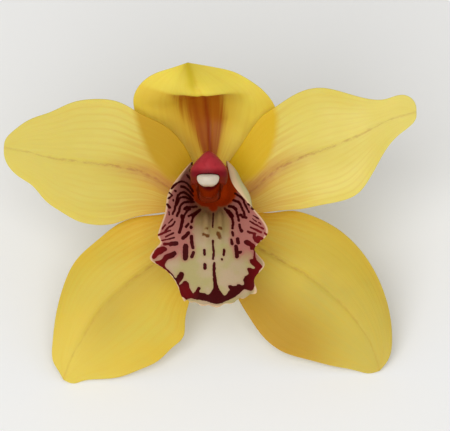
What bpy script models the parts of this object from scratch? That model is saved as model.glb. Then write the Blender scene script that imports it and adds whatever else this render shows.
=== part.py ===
"""Cymbidium orchid bloom, picked with its own short stalk and laid down face up.

The bloom is drawn in its own frame, in millimetres: x to the right as one looks into the
flower, y up towards the dorsal sepal, z out of its face towards the one who looks. The empty
at the end lays it on the table, leaning back on the tips of its two lateral sepals and on the
cut end of its stalk.
"""
import math

import bmesh
import bpy
import numpy as np
from mathutils import Vector

MM = 0.001

# Driving sizes, in millimetres and degrees.
LEAF_THICKNESS = 0.9
LIP_THICKNESS = 0.8
SEAT_GAP = 0.25
LEAF_ROWS, LEAF_COLUMNS = 18, 10
HOOD_ROWS, HOOD_COLUMNS = 30, 12
LIP_ROWS, LIP_COLUMNS = 26, 20
KEEL_HEIGHT, KEEL_WIDTH, KEEL_MIDDLE, KEEL_SPREAD = 1.1, 0.85, 1.05, 1.85
REST_TILT = 39.19
REST_ROLL = 1.16

# Each petal and lateral sepal: one margin, the midrib and the other margin, from seat to tip.
PETAL_LEFT = (
    ((-3.0, 2.6, 0.45), (-3.9, 7.5, 2.2), (-6.7, 13.7, 4.4), (-11.7, 18.7, 6.4),
     (-17.6, 21.6, 7.4), (-24.3, 25.1, 7.0), (-30.4, 25.8, 5.7), (-36.5, 24.9, 4.4),
     (-42.4, 22.3, 3.4), (-47.5, 20.5, 2.6), (-52.0, 17.5, 1.8), (-54.4, 14.7, 1.2),
     (-54.7, 12.9, 1.0)),
    ((-3.6, 0.2, 0.2), (-8.8, 1.3, 1.0), (-13.6, 4.4, 1.9), (-21.1, 7.3, 3.0),
     (-30.4, 8.7, 3.8), (-41.1, 10.1, 3.6), (-49.9, 12.1, 2.2), (-54.7, 12.9, 1.0)),
    ((-3.3, -1.9, 0.2), (-7.7, -3.5, 0.7), (-13.1, -4.5, 0.9), (-19.7, -5.6, 0.9),
     (-25.9, -7.5, 1.0), (-30.4, -7.7, 1.4), (-34.9, -6.7, 1.8), (-39.7, -4.0, 2.1),
     (-43.7, -1.1, 2.1), (-47.2, 2.8, 1.9), (-50.4, 4.9, 1.5), (-53.3, 7.7, 1.2),
     (-54.6, 10.7, 1.0), (-54.7, 12.9, 1.0)),
)
PETAL_RIGHT = (
    ((3.0, 2.6, 0.45), (4.5, 7.5, 2.2), (7.2, 11.7, 4.0), (10.9, 17.3, 6.2), (14.4, 21.5, 7.4),
     (17.6, 23.7, 7.4), (22.4, 26.8, 6.6), (29.1, 28.8, 5.3), (36.3, 27.5, 4.4),
     (42.4, 25.9, 4.0), (46.9, 25.8, 4.0), (50.7, 26.9, 3.8), (53.3, 26.5, 3.0),
     (55.1, 24.3, 2.2), (55.3, 22.4, 2.0)),
    ((3.6, -0.2, 0.2), (7.7, -0.3, 1.0), (11.5, 1.6, 1.7), (15.7, 5.3, 2.6), (22.9, 9.6, 3.6),
     (30.9, 12.5, 4.2), (39.7, 16.1, 4.2), (48.3, 20.4, 3.4), (55.3, 22.4, 2.0)),
    ((3.3, -2.0, 0.2), (7.7, -3.7, 0.7), (13.1, -4.5, 0.9), (18.9, -3.9, 0.9),
     (24.3, -3.5, 1.1), (29.6, -2.5, 1.5), (35.5, -1.3, 2.0), (39.5, 0.5, 2.4),
     (42.7, 4.5, 2.6), (45.1, 8.8, 2.6), (47.7, 13.1, 2.4), (50.9, 16.5, 2.0),
     (53.9, 18.9, 1.8), (55.2, 20.8, 1.8), (55.3, 22.4, 2.0)),
)
LATERAL_SEPAL_LEFT = (
    ((-3.5, -1.3, -1.6), (-7.7, -3.2, -1.9), (-12.3, -4.8, -2.2), (-18.4, -5.5, -2.6),
     (-23.7, -7.2, -3.0), (-29.6, -11.5, -3.4), (-35.7, -17.3, -3.6), (-38.9, -24.0, -3.6),
     (-40.8, -31.7, -3.8), (-41.7, -39.2, -4.2), (-41.5, -44.5, -4.8), (-40.1, -46.9, -5.0),
     (-38.9, -49.1, -5.0)),
    ((-2.9, -2.8, -1.5), (-6.7, -8.8, -1.2), (-11.5, -15.5, -0.8), (-17.1, -19.7, -0.5),
     (-23.7, -25.1, -0.5), (-29.9, -31.7, -0.9), (-34.4, -38.9, -2.0), (-37.6, -45.3, -3.8),
     (-38.9, -49.1, -5.0)),
    ((-1.6, -3.7, -1.6), (-1.9, -11.7, -2.0), (-3.2, -20.3, -2.8), (-5.1, -28.0, -3.6),
     (-6.4, -33.6, -4.0), (-6.9, -37.6, -4.2), (-9.6, -40.3, -4.4), (-13.6, -44.0, -4.6),
     (-18.4, -46.3, -4.8), (-23.7, -48.3, -5.0), (-29.9, -49.0, -5.2), (-33.9, -49.5, -5.3),
     (-36.0, -50.1, -5.3), (-38.9, -49.1, -5.0)),
)
LATERAL_SEPAL_RIGHT = (
    ((3.6, -1.3, -1.6), (8.3, -2.9, -1.9), (13.1, -4.3, -2.2), (17.6, -4.3, -2.5),
     (22.1, -3.9, -2.8), (27.5, -5.3, -3.2), (34.1, -8.7, -3.5), (40.8, -14.8, -3.7),
     (45.3, -22.1, -3.8), (48.0, -29.9, -4.0), (48.9, -37.9, -4.4), (47.9, -43.7, -4.9),
     (45.6, -46.7, -5.2)),
    ((2.9, -2.8, -1.5), (7.7, -9.1, -1.2), (14.1, -14.1, -0.8), (20.3, -17.7, -0.5),
     (27.5, -22.1, -0.5), (34.9, -28.3, -1.0), (40.5, -34.9, -2.2), (44.0, -41.3, -4.0),
     (45.6, -46.7, -5.2)),
    ((1.6, -3.7, -1.6), (2.9, -11.7, -2.0), (5.1, -19.7, -2.8), (7.5, -26.9, -3.6),
     (10.7, -32.5, -4.2), (14.7, -37.9, -4.6), (19.7, -41.6, -4.8), (26.4, -43.7, -5.0),
     (33.6, -45.5, -5.2), (39.5, -46.7, -5.3), (42.9, -47.4, -5.4), (45.6, -46.7, -5.2)),
)

# The dorsal sepal: its left margin, a line halfway, the midrib, a line halfway and its right
# margin, from its seat over the deep hood and the crest to its tip.
HOOD_LINES = (
    ((-1.9, 3.2, -1.6), (-6.5, 2.9, -1.4), (-11.2, 4.6, -0.9), (-14.6, 8.9, 0.2), (-16.9, 13.3, 1.2),
     (-18.6, 17.9, 2.2), (-19.8, 22.6, 3.6), (-20.1, 26.0, 5.6), (-18.9, 28.9, 8.2),
     (-16.6, 31.2, 10.8), (-13.6, 32.8, 13.2), (-10.0, 33.9, 15.0), (-5.7, 35.3, 16.6)),
    ((-1.0, 3.5, -1.6), (-2.8, 6.4, -1.9), (-5.2, 10.6, -2.2), (-7.0, 14.6, -2.0), (-8.2, 18.4, -1.2),
     (-9.0, 21.7, 0.6), (-9.3, 24.4, 3.2), (-9.3, 26.0, 6.8), (-9.1, 27.0, 10.4), (-8.9, 28.0, 13.4),
     (-8.3, 29.9, 15.8), (-7.3, 32.4, 16.7), (-5.7, 35.3, 16.6)),
    ((0.0, 3.7, -1.6), (0.1, 7.6, -2.2), (0.2, 12.4, -3.4), (0.3, 16.8, -3.9), (0.4, 20.8, -3.3),
     (0.4, 24.4, -1.0), (0.4, 27.0, 3.4), (0.2, 28.3, 9.0), (-0.6, 27.9, 14.2), (-1.8, 26.7, 18.0),
     (-2.9, 28.4, 19.6), (-4.2, 31.6, 18.8), (-5.7, 35.3, 16.6)),
    ((1.0, 3.5, -1.6), (2.9, 6.4, -1.9), (5.4, 10.4, -2.2), (7.2, 14.2, -2.0), (8.3, 17.9, -1.2),
     (9.1, 20.8, 1.0), (9.6, 23.2, 3.2), (9.7, 25.3, 5.8), (9.0, 27.0, 8.8), (7.6, 28.5, 12.0),
     (4.8, 30.4, 15.0), (0.8, 32.6, 16.6), (-5.7, 35.3, 16.6)),
    ((1.9, 3.2, -1.6), (6.9, 2.9, -1.4), (11.4, 4.3, -0.9), (14.6, 7.6, 0.2), (16.6, 11.5, 1.0),
     (17.9, 16.2, 1.9), (18.2, 20.9, 3.3), (17.2, 24.6, 5.4), (14.8, 27.6, 8.0), (11.8, 30.0, 10.8),
     (7.6, 32.5, 13.4), (2.6, 33.9, 15.4), (-5.7, 35.3, 16.6)),
)

# The lip: nine lines from its seat to its front edge, from the left margin over the floor to
# the right margin. Each has the same fourteen stations.
LIP_LINES = (
    ((-3.3, 0.8, 1.8), (-4.3, 4.8, 4.6), (-4.5, 7.9, 8.6), (-4.6, 8.9, 12.6), (-8.1, 4.9, 16.2),
     (-10.9, 0.2, 18.2), (-11.7, -4.8, 19.2), (-13.5, -10.4, 19.8), (-12.9, -12.5, 18.6),
     (-15.7, -16.4, 17.6), (-12.0, -19.0, 18.2), (-9.0, -22.4, 18.0), (-7.5, -26.0, 16.8),
     (-6.4, -27.4, 16.0)),
    ((-3.2, 0.0, 1.8), (-4.8, 2.4, 4.6), (-5.4, 4.7, 8.6), (-6.5, 5.6, 12.4), (-8.5, 2.2, 15.6),
     (-10.0, -1.8, 17.6), (-10.6, -6.0, 18.9), (-11.4, -10.4, 19.6), (-11.1, -13.3, 19.1),
     (-12.6, -16.8, 18.6), (-9.6, -20.0, 19.0), (-7.4, -23.2, 18.3), (-5.9, -26.3, 16.9),
     (-5.3, -27.8, 15.9)),
    ((-2.8, -0.9, 1.8), (-4.8, -0.6, 4.8), (-6.0, 0.0, 8.6), (-7.0, 0.2, 12.2),
     (-7.8, -2.0, 15.0), (-8.4, -4.4, 17.2), (-8.6, -7.8, 18.8), (-9.0, -11.2, 19.7),
     (-8.8, -14.2, 19.7), (-9.4, -17.4, 19.6), (-7.6, -20.8, 19.5), (-5.6, -23.9, 18.6),
     (-4.2, -26.7, 17.0), (-3.6, -28.4, 15.8)),
    ((-1.5, -1.7, 1.8), (-2.6, -2.7, 5.0), (-3.2, -3.6, 8.6), (-3.7, -4.5, 12.0),
     (-4.2, -5.6, 15.0), (-4.6, -7.4, 17.4), (-4.8, -9.8, 19.4), (-5.0, -12.7, 20.6),
     (-4.8, -15.6, 20.9), (-4.8, -18.7, 20.8), (-3.8, -21.8, 20.2), (-2.4, -24.7, 18.9),
     (-1.4, -27.2, 17.2), (-1.0, -29.0, 15.5)),
    ((0.0, -1.9, 1.8), (0.0, -3.2, 5.0), (0.0, -4.4, 8.6), (0.0, -5.4, 12.0), (0.0, -6.4, 15.0),
     (0.2, -7.8, 17.8), (0.3, -10.2, 20.0), (0.4, -13.2, 21.3), (0.6, -16.0, 21.7),
     (0.8, -19.0, 21.4), (1.0, -22.0, 20.5), (1.3, -24.8, 19.0), (1.6, -27.3, 17.2),
     (2.0, -29.3, 15.4)),
    ((1.5, -1.7, 1.8), (2.6, -2.7, 5.0), (3.2, -3.6, 8.6), (3.8, -4.5, 12.0), (4.4, -5.6, 15.0),
     (4.9, -7.4, 17.4), (5.2, -9.8, 19.4), (5.6, -12.7, 20.6), (5.6, -15.7, 20.9),
     (5.8, -18.8, 20.8), (5.6, -21.9, 20.2), (5.4, -24.7, 18.9), (5.2, -27.1, 17.2),
     (5.0, -28.6, 15.6)),
    ((2.8, -0.9, 1.8), (4.9, -0.6, 4.8), (6.1, 0.0, 8.6), (7.4, 0.6, 12.2), (8.4, -1.8, 15.0),
     (9.4, -4.2, 17.2), (9.8, -7.6, 18.8), (10.2, -11.0, 19.7), (9.4, -14.6, 19.7),
     (9.9, -18.0, 19.4), (9.3, -21.4, 19.3), (8.9, -24.2, 18.3), (8.7, -26.4, 17.0),
     (7.6, -27.4, 15.9)),
    ((3.2, 0.0, 1.8), (4.9, 2.6, 4.6), (5.6, 5.2, 8.6), (7.2, 6.2, 12.6), (8.6, 3.6, 15.6),
     (10.6, 0.0, 17.6), (11.8, -5.4, 18.9), (13.2, -10.0, 19.6), (11.0, -14.2, 19.1),
     (12.6, -17.8, 18.6), (11.2, -21.2, 18.7), (10.8, -23.9, 17.8), (10.8, -25.7, 16.8),
     (9.4, -26.4, 16.0)),
    ((3.3, 0.8, 1.8), (4.3, 4.8, 4.6), (4.6, 8.2, 8.6), (4.8, 9.0, 12.6), (5.6, 4.9, 15.8),
     (7.6, 1.3, 17.6), (12.1, -3.7, 19.0), (15.6, -9.8, 19.8), (12.0, -13.9, 18.6),
     (14.8, -17.8, 17.8), (12.4, -20.9, 18.2), (12.2, -23.4, 17.4), (12.6, -25.0, 16.6),
     (11.2, -25.4, 16.0)),
)

# Arched column: its axis in the plane x = 0, and rings as (share of the axis, half width, half
# height, share of the arch, size). The arch is half an outline, from its top down one side,
# round a drooping wing and along the hollow underside to the middle.
COLUMN_AXIS = ((0.0, 1.0, 1.5), (0.0, 2.5, 5.0), (0.0, 4.9, 10.0), (0.0, 6.5, 15.0),
               (0.0, 6.8, 19.5), (0.0, 6.2, 24.6))
COLUMN_RINGS = ((0.0, 1.9, 1.7, 0.0, 0.0), (0.0, 1.9, 1.7, 0.0, 1.0), (0.04, 2.4, 2.1, 0.0, 1.0),
                (0.2, 2.8, 2.4, 0.0, 1.0), (0.42, 3.4, 2.8, 0.0, 1.0), (0.52, 3.8, 3.1, 0.17, 1.0),
                (0.62, 4.2, 3.4, 0.54, 1.0), (0.71, 4.3, 3.6, 0.86, 1.0), (0.8, 4.4, 3.8, 1.0, 1.0),
                (0.87, 4.5, 3.9, 1.0, 0.98), (0.92, 4.5, 3.9, 1.0, 0.88), (0.965, 4.6, 4.0, 1.0, 0.65),
                (0.99, 4.6, 4.0, 1.0, 0.36), (1.0, 4.6, 4.0, 1.0, 0.0))
COLUMN_ARCH = ((0.0, 5.1), (1.1, 4.75), (2.3, 3.7), (3.5, 2.2), (4.3, 0.6), (4.7, -1.4), (4.75, -3.0),
               (4.35, -4.1), (3.75, -4.0), (3.4, -2.8), (3.2, -1.2), (2.6, -0.45), (1.4, -0.3), (0.0, -0.3))
CAP_CENTRE = (-0.2, 4.0, 24.0)
CAP_HALF = (2.95, 1.75, 1.6)

# Stalk: its axis from the seat of the leaves back to the cut end, and its rings. The first
# rings are the core between the leaf bases and the shoulder that the sepals sit on.
STALK_AXIS = ((0.0, 0.4, 0.5), (0.0, 0.2, -2.4), (0.0, -0.4, -9.0), (0.0, -2.2, -18.0),
              (0.0, -5.0, -29.0), (0.0, -8.0, -38.0))
STALK_RINGS = ((0.0, 0.0), (0.0, 2.3), (0.015, 2.6), (0.074, 2.6), (0.078, 4.8), (0.1, 4.9),
               (0.13, 3.2), (0.2, 2.7), (0.4, 2.9), (0.6, 2.5), (0.75, 2.0), (1.0, 1.9),
               (1.0, 0.0))


def smooth_line(points, shares):
    """Smooth curve through the points, read at shares of its length from 0 to 1."""
    knots = np.array(points, float)
    steps = np.linalg.norm(np.diff(knots, axis=0), axis=1)
    reached = np.concatenate([[0.0], np.cumsum(steps)])
    slopes = np.gradient(knots, reached, axis=0)
    wanted = np.clip(shares, 0.0, 1.0) * reached[-1]
    piece = np.clip(np.searchsorted(reached, wanted, side="right") - 1, 0, len(steps) - 1)
    size = steps[piece][:, None]
    s = (wanted - reached[piece])[:, None] / size
    return (knots[piece] * (1 + 2 * s) * (1 - s) ** 2
            + slopes[piece] * size * s * (1 - s) ** 2
            + knots[piece + 1] * s ** 2 * (3 - 2 * s)
            + slopes[piece + 1] * size * s ** 2 * (s - 1))


def net_weights(count, shares):
    """Weight of each of count evenly spread points at each share, for a smooth curve."""
    place = np.clip(shares, 0.0, 1.0) * (count - 1)
    piece = np.minimum(place.astype(int), count - 2)
    s = place - piece
    parts = (-0.5 * s + s ** 2 - 0.5 * s ** 3, 1 - 2.5 * s ** 2 + 1.5 * s ** 3,
             0.5 * s + 2 * s ** 2 - 1.5 * s ** 3, -0.5 * s ** 2 + 0.5 * s ** 3)
    weights = np.zeros((len(place), count))
    rows = np.arange(len(place))
    for offset, part in zip((-1, 0, 1, 2), parts):
        np.add.at(weights, (rows, np.clip(piece + offset, 0, count - 1)), part)
    return weights


def leaf_points(rails, across, along):
    """Parabola across the leaf through both margins and the midrib, for across from -1 to 1."""
    first, middle, second = (smooth_line(rail, along) for rail in rails)
    across = across[:, None]
    return middle + across * (second - first) / 2 + across ** 2 * ((first + second) / 2 - middle)


def net_points(lines, across, along):
    """Smooth sheet through a net of lines that all have the same number of stations."""
    net = np.array(lines)
    side_weights = net_weights(len(net), (across + 1) / 2)
    station_weights = net_weights(len(net[0]), along)
    return np.einsum("nl,ns,lsk->nk", side_weights, station_weights, net)


def lip_points(across, along):
    """The lip's sheet with two low keels raised along its floor."""
    points = net_points(LIP_LINES, across, along)
    reach = np.exp(-((along - 0.36) / 0.17) ** 4)
    for side in (-1, 1):
        ridge = np.exp(-((points[:, 0] - KEEL_MIDDLE - side * KEEL_SPREAD) / KEEL_WIDTH) ** 2)
        on_floor = np.exp(-(across / 0.45) ** 4)
        points[:, 1] += KEEL_HEIGHT * 0.8 * ridge * reach * on_floor
        points[:, 2] += KEEL_HEIGHT * 0.5 * ridge * reach * on_floor
    return points


def material(name, colour, roughness):
    """Plain surface of one colour."""
    finish = bpy.data.materials.new(name)
    finish.use_nodes = True
    shader = finish.node_tree.nodes["Principled BSDF"]
    shader.inputs["Base Color"].default_value = (*colour, 1.0)
    shader.inputs["Roughness"].default_value = roughness
    shader.inputs["Metallic"].default_value = 0.0
    return finish


def add_object(name, mesh_shape, finish, collection, bloom):
    """Object of the given shape, in the bloom's own frame, carried by the bloom's empty."""
    mesh = bpy.data.meshes.new(name)
    mesh_shape.to_mesh(mesh)
    mesh_shape.free()
    mesh.shade_smooth()
    mesh.materials.append(finish)
    piece = bpy.data.objects.new(name, mesh)
    collection.objects.link(piece)
    piece.parent = bloom
    return piece


def sheet(name, surface, columns, rows, thickness, finish, collection, bloom):
    """Thin leaf: a grid laid on a surface, merged where it ends in a tip, then thickened."""
    shape = bmesh.new()
    bmesh.ops.create_grid(shape, x_segments=columns, y_segments=rows, size=1.0)
    across = np.array([vertex.co.x for vertex in shape.verts])
    along = np.array([(vertex.co.y + 1) / 2 for vertex in shape.verts])
    for vertex, point in zip(shape.verts, surface(across, along) * MM):
        vertex.co = point
    bmesh.ops.remove_doubles(shape, verts=shape.verts, dist=0.02 * MM)
    bmesh.ops.triangulate(shape, faces=shape.faces, quad_method="SHORT_EDGE")
    piece = add_object(name, shape, finish, collection, bloom)
    solidify = piece.modifiers.new("thickness", "SOLIDIFY")
    solidify.thickness = thickness * MM
    solidify.offset = 0.0
    solidify.use_quality_normals = True
    return piece


def round_ring(ring, turn):
    """Point of a round ring (share, radius) at an angle: sideways and up."""
    return ring[1] * math.cos(turn), ring[1] * math.sin(turn)


def column_ring(ring, turn):
    """Point of a column ring at an angle: between an ellipse and the winged arch."""
    share, half_width, half_height, arch_share, size = ring
    from_top = abs((turn - math.pi / 2 + math.pi) % (2 * math.pi) - math.pi) / math.pi
    arch = smooth_line(COLUMN_ARCH, np.array([from_top]))[0]
    round_x, round_y = half_width * math.sin(math.pi * from_top), half_height * math.cos(math.pi * from_top)
    sideways = round_x + (max(arch[0], 0.0) - round_x) * arch_share
    up = round_y + (arch[1] - round_y) * arch_share
    return math.copysign(sideways, math.cos(turn)) * size, up * size


def club(name, axis, rings, ring_point, sides, finish, collection, bloom):
    """Closed body: a sphere's rings, shaped by ring_point and set along a bent axis in x = 0."""
    shape = bmesh.new()
    bmesh.ops.create_uvsphere(shape, u_segments=sides, v_segments=len(rings) - 1, radius=1.0)
    shares = np.array([ring[0] for ring in rings])
    centres = smooth_line(axis, shares)
    ahead = smooth_line(axis, shares + 0.01) - smooth_line(axis, shares - 0.01)
    ahead /= np.linalg.norm(ahead, axis=1)[:, None]
    for vertex in shape.verts:
        from_pole = math.acos(max(-1.0, min(1.0, -vertex.co.z)))
        ring = round(from_pole / math.pi * (len(rings) - 1))
        turn = math.atan2(vertex.co.y, vertex.co.x)
        sideways, up = ring_point(rings[ring], turn)
        outward = Vector((sideways, 0.0, 0.0)) + Vector(np.cross(ahead[ring], (1.0, 0.0, 0.0))) * up
        vertex.co = (Vector(centres[ring]) + outward) * MM
    return add_object(name, shape, finish, collection, bloom)


def ellipsoid(name, centre, half, finish, collection, bloom):
    """Rounded body from a sphere, stretched to its three half sizes."""
    shape = bmesh.new()
    bmesh.ops.create_uvsphere(shape, u_segments=20, v_segments=12, radius=1.0)
    for vertex in shape.verts:
        vertex.co = [(c + h * v) * MM for c, h, v in zip(centre, half, vertex.co)]
    return add_object(name, shape, finish, collection, bloom)


for old in list(bpy.data.objects):
    bpy.data.objects.remove(old)
flower = bpy.data.collections.new("cymbidium_orchid_bloom")
cutters = bpy.data.collections.new("cutters")
for collection in (flower, cutters):
    bpy.context.scene.collection.children.link(collection)

bloom = bpy.data.objects.new("bloom", None)
flower.objects.link(bloom)
bloom.rotation_euler = (math.radians(REST_TILT), math.radians(REST_ROLL), 0.0)

petal_yellow = material("petal_yellow", (0.72, 0.58, 0.13), 0.45)
sepal_yellow = material("sepal_yellow", (0.66, 0.46, 0.06), 0.45)
lip_cream = material("lip_cream", (0.62, 0.52, 0.38), 0.45)
column_red = material("column_red", (0.42, 0.05, 0.09), 0.35)
cap_cream = material("cap_cream", (0.72, 0.62, 0.48), 0.35)
stalk_green = material("stalk_green", (0.36, 0.42, 0.10), 0.5)

leaves = (
    ("petal_left", PETAL_LEFT, LEAF_COLUMNS, LEAF_ROWS, petal_yellow),
    ("petal_right", PETAL_RIGHT, LEAF_COLUMNS, LEAF_ROWS, petal_yellow),
    ("lateral_sepal_left", LATERAL_SEPAL_LEFT, LEAF_COLUMNS, LEAF_ROWS, sepal_yellow),
    ("lateral_sepal_right", LATERAL_SEPAL_RIGHT, LEAF_COLUMNS, LEAF_ROWS, sepal_yellow),
)
for leaf_name, rails, columns, rows, finish in leaves:
    sheet(leaf_name, lambda across, along, rails=rails: leaf_points(rails, across, along),
          columns, rows, LEAF_THICKNESS, finish, flower, bloom)

sheet("dorsal_sepal", lambda across, along: net_points(HOOD_LINES, across, along),
      HOOD_COLUMNS, HOOD_ROWS, LEAF_THICKNESS, sepal_yellow, flower, bloom)
sheet("lip", lip_points, LIP_COLUMNS, LIP_ROWS, LIP_THICKNESS, lip_cream, flower, bloom)

column = club("column", COLUMN_AXIS, COLUMN_RINGS, column_ring, 28, column_red, flower, bloom)
ellipsoid("anther_cap", CAP_CENTRE, CAP_HALF, cap_cream, flower, bloom)
cap_room = ellipsoid("cap_room", CAP_CENTRE, [half + SEAT_GAP for half in CAP_HALF],
                     cap_cream, cutters, bloom)
cap_room.hide_render = True
cap_room.display_type = "WIRE"
seat = column.modifiers.new("cap_seat", "BOOLEAN")
seat.object = cap_room
seat.operation = "DIFFERENCE"
seat.solver = "EXACT"

stalk = club("pedicel", STALK_AXIS, STALK_RINGS, round_ring, 20, stalk_green, flower, bloom)

# The empty is raised and centred so that the bloom's box stands on the origin.
bpy.context.view_layer.update()
graph = bpy.context.evaluated_depsgraph_get()
corners = []
for piece in flower.objects:
    if piece.type == "MESH":
        shown = piece.evaluated_get(graph)
        corners.extend(shown.matrix_world @ vertex.co for vertex in shown.data.vertices)
low = [min(corner[axis] for corner in corners) for axis in range(3)]
high = [max(corner[axis] for corner in corners) for axis in range(3)]
bloom.location = (-(low[0] + high[0]) / 2, -(low[1] + high[1]) / 2, -low[2])
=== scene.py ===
import math

import bpy
import numpy as np
from mathutils import Matrix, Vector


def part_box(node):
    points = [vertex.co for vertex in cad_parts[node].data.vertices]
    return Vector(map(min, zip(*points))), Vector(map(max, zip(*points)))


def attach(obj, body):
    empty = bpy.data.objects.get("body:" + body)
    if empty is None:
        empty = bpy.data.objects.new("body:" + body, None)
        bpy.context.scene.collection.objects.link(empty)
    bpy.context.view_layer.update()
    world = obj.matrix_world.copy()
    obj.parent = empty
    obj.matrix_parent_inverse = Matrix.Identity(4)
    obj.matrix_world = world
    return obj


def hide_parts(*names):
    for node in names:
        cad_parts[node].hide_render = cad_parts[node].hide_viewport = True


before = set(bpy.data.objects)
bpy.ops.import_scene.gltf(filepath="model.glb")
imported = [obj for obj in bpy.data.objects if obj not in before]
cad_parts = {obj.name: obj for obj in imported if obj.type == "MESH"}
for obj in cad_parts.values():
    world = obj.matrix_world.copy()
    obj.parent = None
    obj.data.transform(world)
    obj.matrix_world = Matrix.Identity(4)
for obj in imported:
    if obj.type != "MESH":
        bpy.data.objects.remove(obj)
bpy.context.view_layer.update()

# Stalk: the ovary and its thin stem, one green grown piece under the flower, cut clean at its
# end. Its top flares into the seat of the leaves, with a low core between their bases.

# Every piece is drawn face on, in millimetres, with x to the viewer's right, y up towards the
# dorsal sepal and z out of the face. The drawing is then leant back onto the tips of the two
# lateral sepals and the cut end of the stalk, about the heart that the anther cap's place gives.
MM = 0.001
LEAN, ROLL = math.radians(39.19), math.radians(1.16)
CAP_CENTRE = np.array((-0.2, 4.0, 24.0))
STALK_AXIS = ((0.0, 0.4, 0.5), (0.0, 0.2, -2.4), (0.0, -0.4, -9.0), (0.0, -2.2, -18.0),
              (0.0, -5.0, -29.0), (0.0, -8.0, -38.0))
STALK_RADII = ((0.0, 2.3), (0.012, 2.6), (0.074, 2.6), (0.077, 4.6), (0.088, 4.85), (0.1, 4.6),
               (0.13, 3.5), (0.18, 2.85), (0.4, 2.9), (0.6, 2.5), (0.75, 2.05), (0.985, 1.9), (1.0, 1.75))
STALK_SIDES = 96
RIB_COUNT, RIB_HEIGHT, RIB_TWIST = 6, 0.16, 0.9
STALK_GREEN, STALK_YELLOW, STALK_FLUSH = (0.33, 0.40, 0.07), (0.62, 0.55, 0.11), (0.30, 0.12, 0.06)
CUT_FLESH = (0.62, 0.60, 0.32)
# The seat's rust is the throat's rust painted darker, as shade deep between the bases of the leaves.
THROAT_RUST, SEAT_RUST_AND_SHADE = (0.46, 0.045, 0.002), (0.22, 0.022, 0.002)

lean = np.array(((1, 0, 0), (0, math.cos(LEAN), -math.sin(LEAN)), (0, math.sin(LEAN), math.cos(LEAN))))
roll = np.array(((math.cos(ROLL), 0, math.sin(ROLL)), (0, 1, 0), (-math.sin(ROLL), 0, math.cos(ROLL))))
turn = roll @ lean
cap_low, cap_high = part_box("anther_cap")
heart = np.array(cap_low + cap_high) / 2 - turn @ CAP_CENTRE * MM


def lay_down(points):
    """Points of the face-on drawing in millimetres, turned and moved to where the bloom lies."""
    return points @ turn.T * MM + heart


def smooth_line(points, shares):
    """Cubic curve through the points, free of kinks, read at shares of its length from 0 to 1.

    The second derivative at each point solves the usual equations of a natural spline.
    """
    knots = np.array(points, float)
    steps = np.linalg.norm(np.diff(knots, axis=0), axis=1)
    reached = np.concatenate([[0.0], np.cumsum(steps)])
    system = np.eye(len(knots))
    wanted_bend = np.zeros_like(knots)
    inner = np.arange(1, len(knots) - 1)
    system[inner, inner - 1], system[inner, inner + 1] = steps[:-1], steps[1:]
    system[inner, inner] = 2 * (steps[:-1] + steps[1:])
    wanted_bend[1:-1] = 6 * np.diff(np.diff(knots, axis=0) / steps[:, None], axis=0)
    bend = np.linalg.solve(system, wanted_bend)
    place = np.clip(shares, 0.0, 1.0) * reached[-1]
    piece = np.clip(np.searchsorted(reached, place, side="right") - 1, 0, len(steps) - 1)
    size = steps[piece][:, None]
    after = (place - reached[piece])[:, None] / size
    before = 1 - after
    return (before * knots[piece] + after * knots[piece + 1]
            + ((before ** 3 - before) * bend[piece] + (after ** 3 - after) * bend[piece + 1])
            * size ** 2 / 6)


def tube(axis, rows, sides, radius):
    """Closed round body along an axis: radius gives each ring's points from (share, angle).

    The rings stand square to the axis, whose plane is x = 0, and a point closes each end.
    Returns the points, the triangles, and the share and angle of every point.
    """
    share, angle = np.meshgrid(rows, np.arange(sides) * 2 * np.pi / sides, indexing="ij")
    centre, after, before = (smooth_line(axis, rows + step) for step in (0, 0.004, -0.004))
    ahead = after - before
    ahead /= np.linalg.norm(ahead, axis=1)[:, None]
    aside = np.array((1.0, 0.0, 0.0))
    up = np.cross(ahead, aside)
    wide, high = radius(share, angle)
    rings = centre[:, None] + wide[..., None] * aside + high[..., None] * up[:, None]
    points = np.concatenate([rings.reshape(-1, 3), rings[0].mean(0)[None], rings[-1].mean(0)[None]])
    number = np.arange(len(rows) * sides).reshape(len(rows), sides)
    here, there = number[:-1], number[1:]
    here_next, there_next = np.roll(here, -1, axis=1), np.roll(there, -1, axis=1)
    first, last = number[0], number[-1]
    start, stop = np.full(sides, len(points) - 2), np.full(sides, len(points) - 1)
    triangles = np.concatenate([
        np.stack([here, here_next, there_next], -1).reshape(-1, 3),
        np.stack([here, there_next, there], -1).reshape(-1, 3),
        np.stack([start, np.roll(first, -1), first], -1),
        np.stack([stop, last, np.roll(last, -1)], -1)])
    ends = np.array((rows[0], rows[-1]))
    return points, triangles, np.append(share.ravel(), ends), np.append(angle.ravel(), (0.0, 0.0))


def add_piece(name, node, points, triangles, values, across, along, material):
    """Mesh of the drawn points at the origin, with its named values, its map and its finish."""
    placed = lay_down(points)
    corners = placed[triangles]
    volume = np.einsum("ij,ij->", corners[:, 0], np.cross(corners[:, 1], corners[:, 2]))
    if volume < 0:
        triangles = triangles[:, ::-1]
    mesh = bpy.data.meshes.new(name)
    mesh.vertices.add(len(placed))
    mesh.vertices.foreach_set("co", placed.astype(np.float32).ravel())
    mesh.loops.add(triangles.size)
    mesh.loops.foreach_set("vertex_index", triangles.astype(np.int32).ravel())
    mesh.polygons.add(len(triangles))
    mesh.polygons.foreach_set("loop_start", np.arange(0, triangles.size, 3, dtype=np.int32))
    mesh.polygons.foreach_set("use_smooth", np.ones(len(triangles), bool))
    for title, value in values.items():
        held = mesh.attributes.new(title, "FLOAT", "POINT")
        held.data.foreach_set("value", value.astype(np.float32).ravel())
    chart = mesh.uv_layers.new(name="chart")
    flat = np.stack([across, along], -1)[triangles.ravel()]
    chart.data.foreach_set("uv", flat.astype(np.float32).ravel())
    mesh.update(calc_edges=True)
    mesh.materials.append(material)
    piece = bpy.data.objects.new(name, mesh)
    bpy.context.scene.collection.objects.link(piece)
    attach(piece, "root")
    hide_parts(node)


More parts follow.
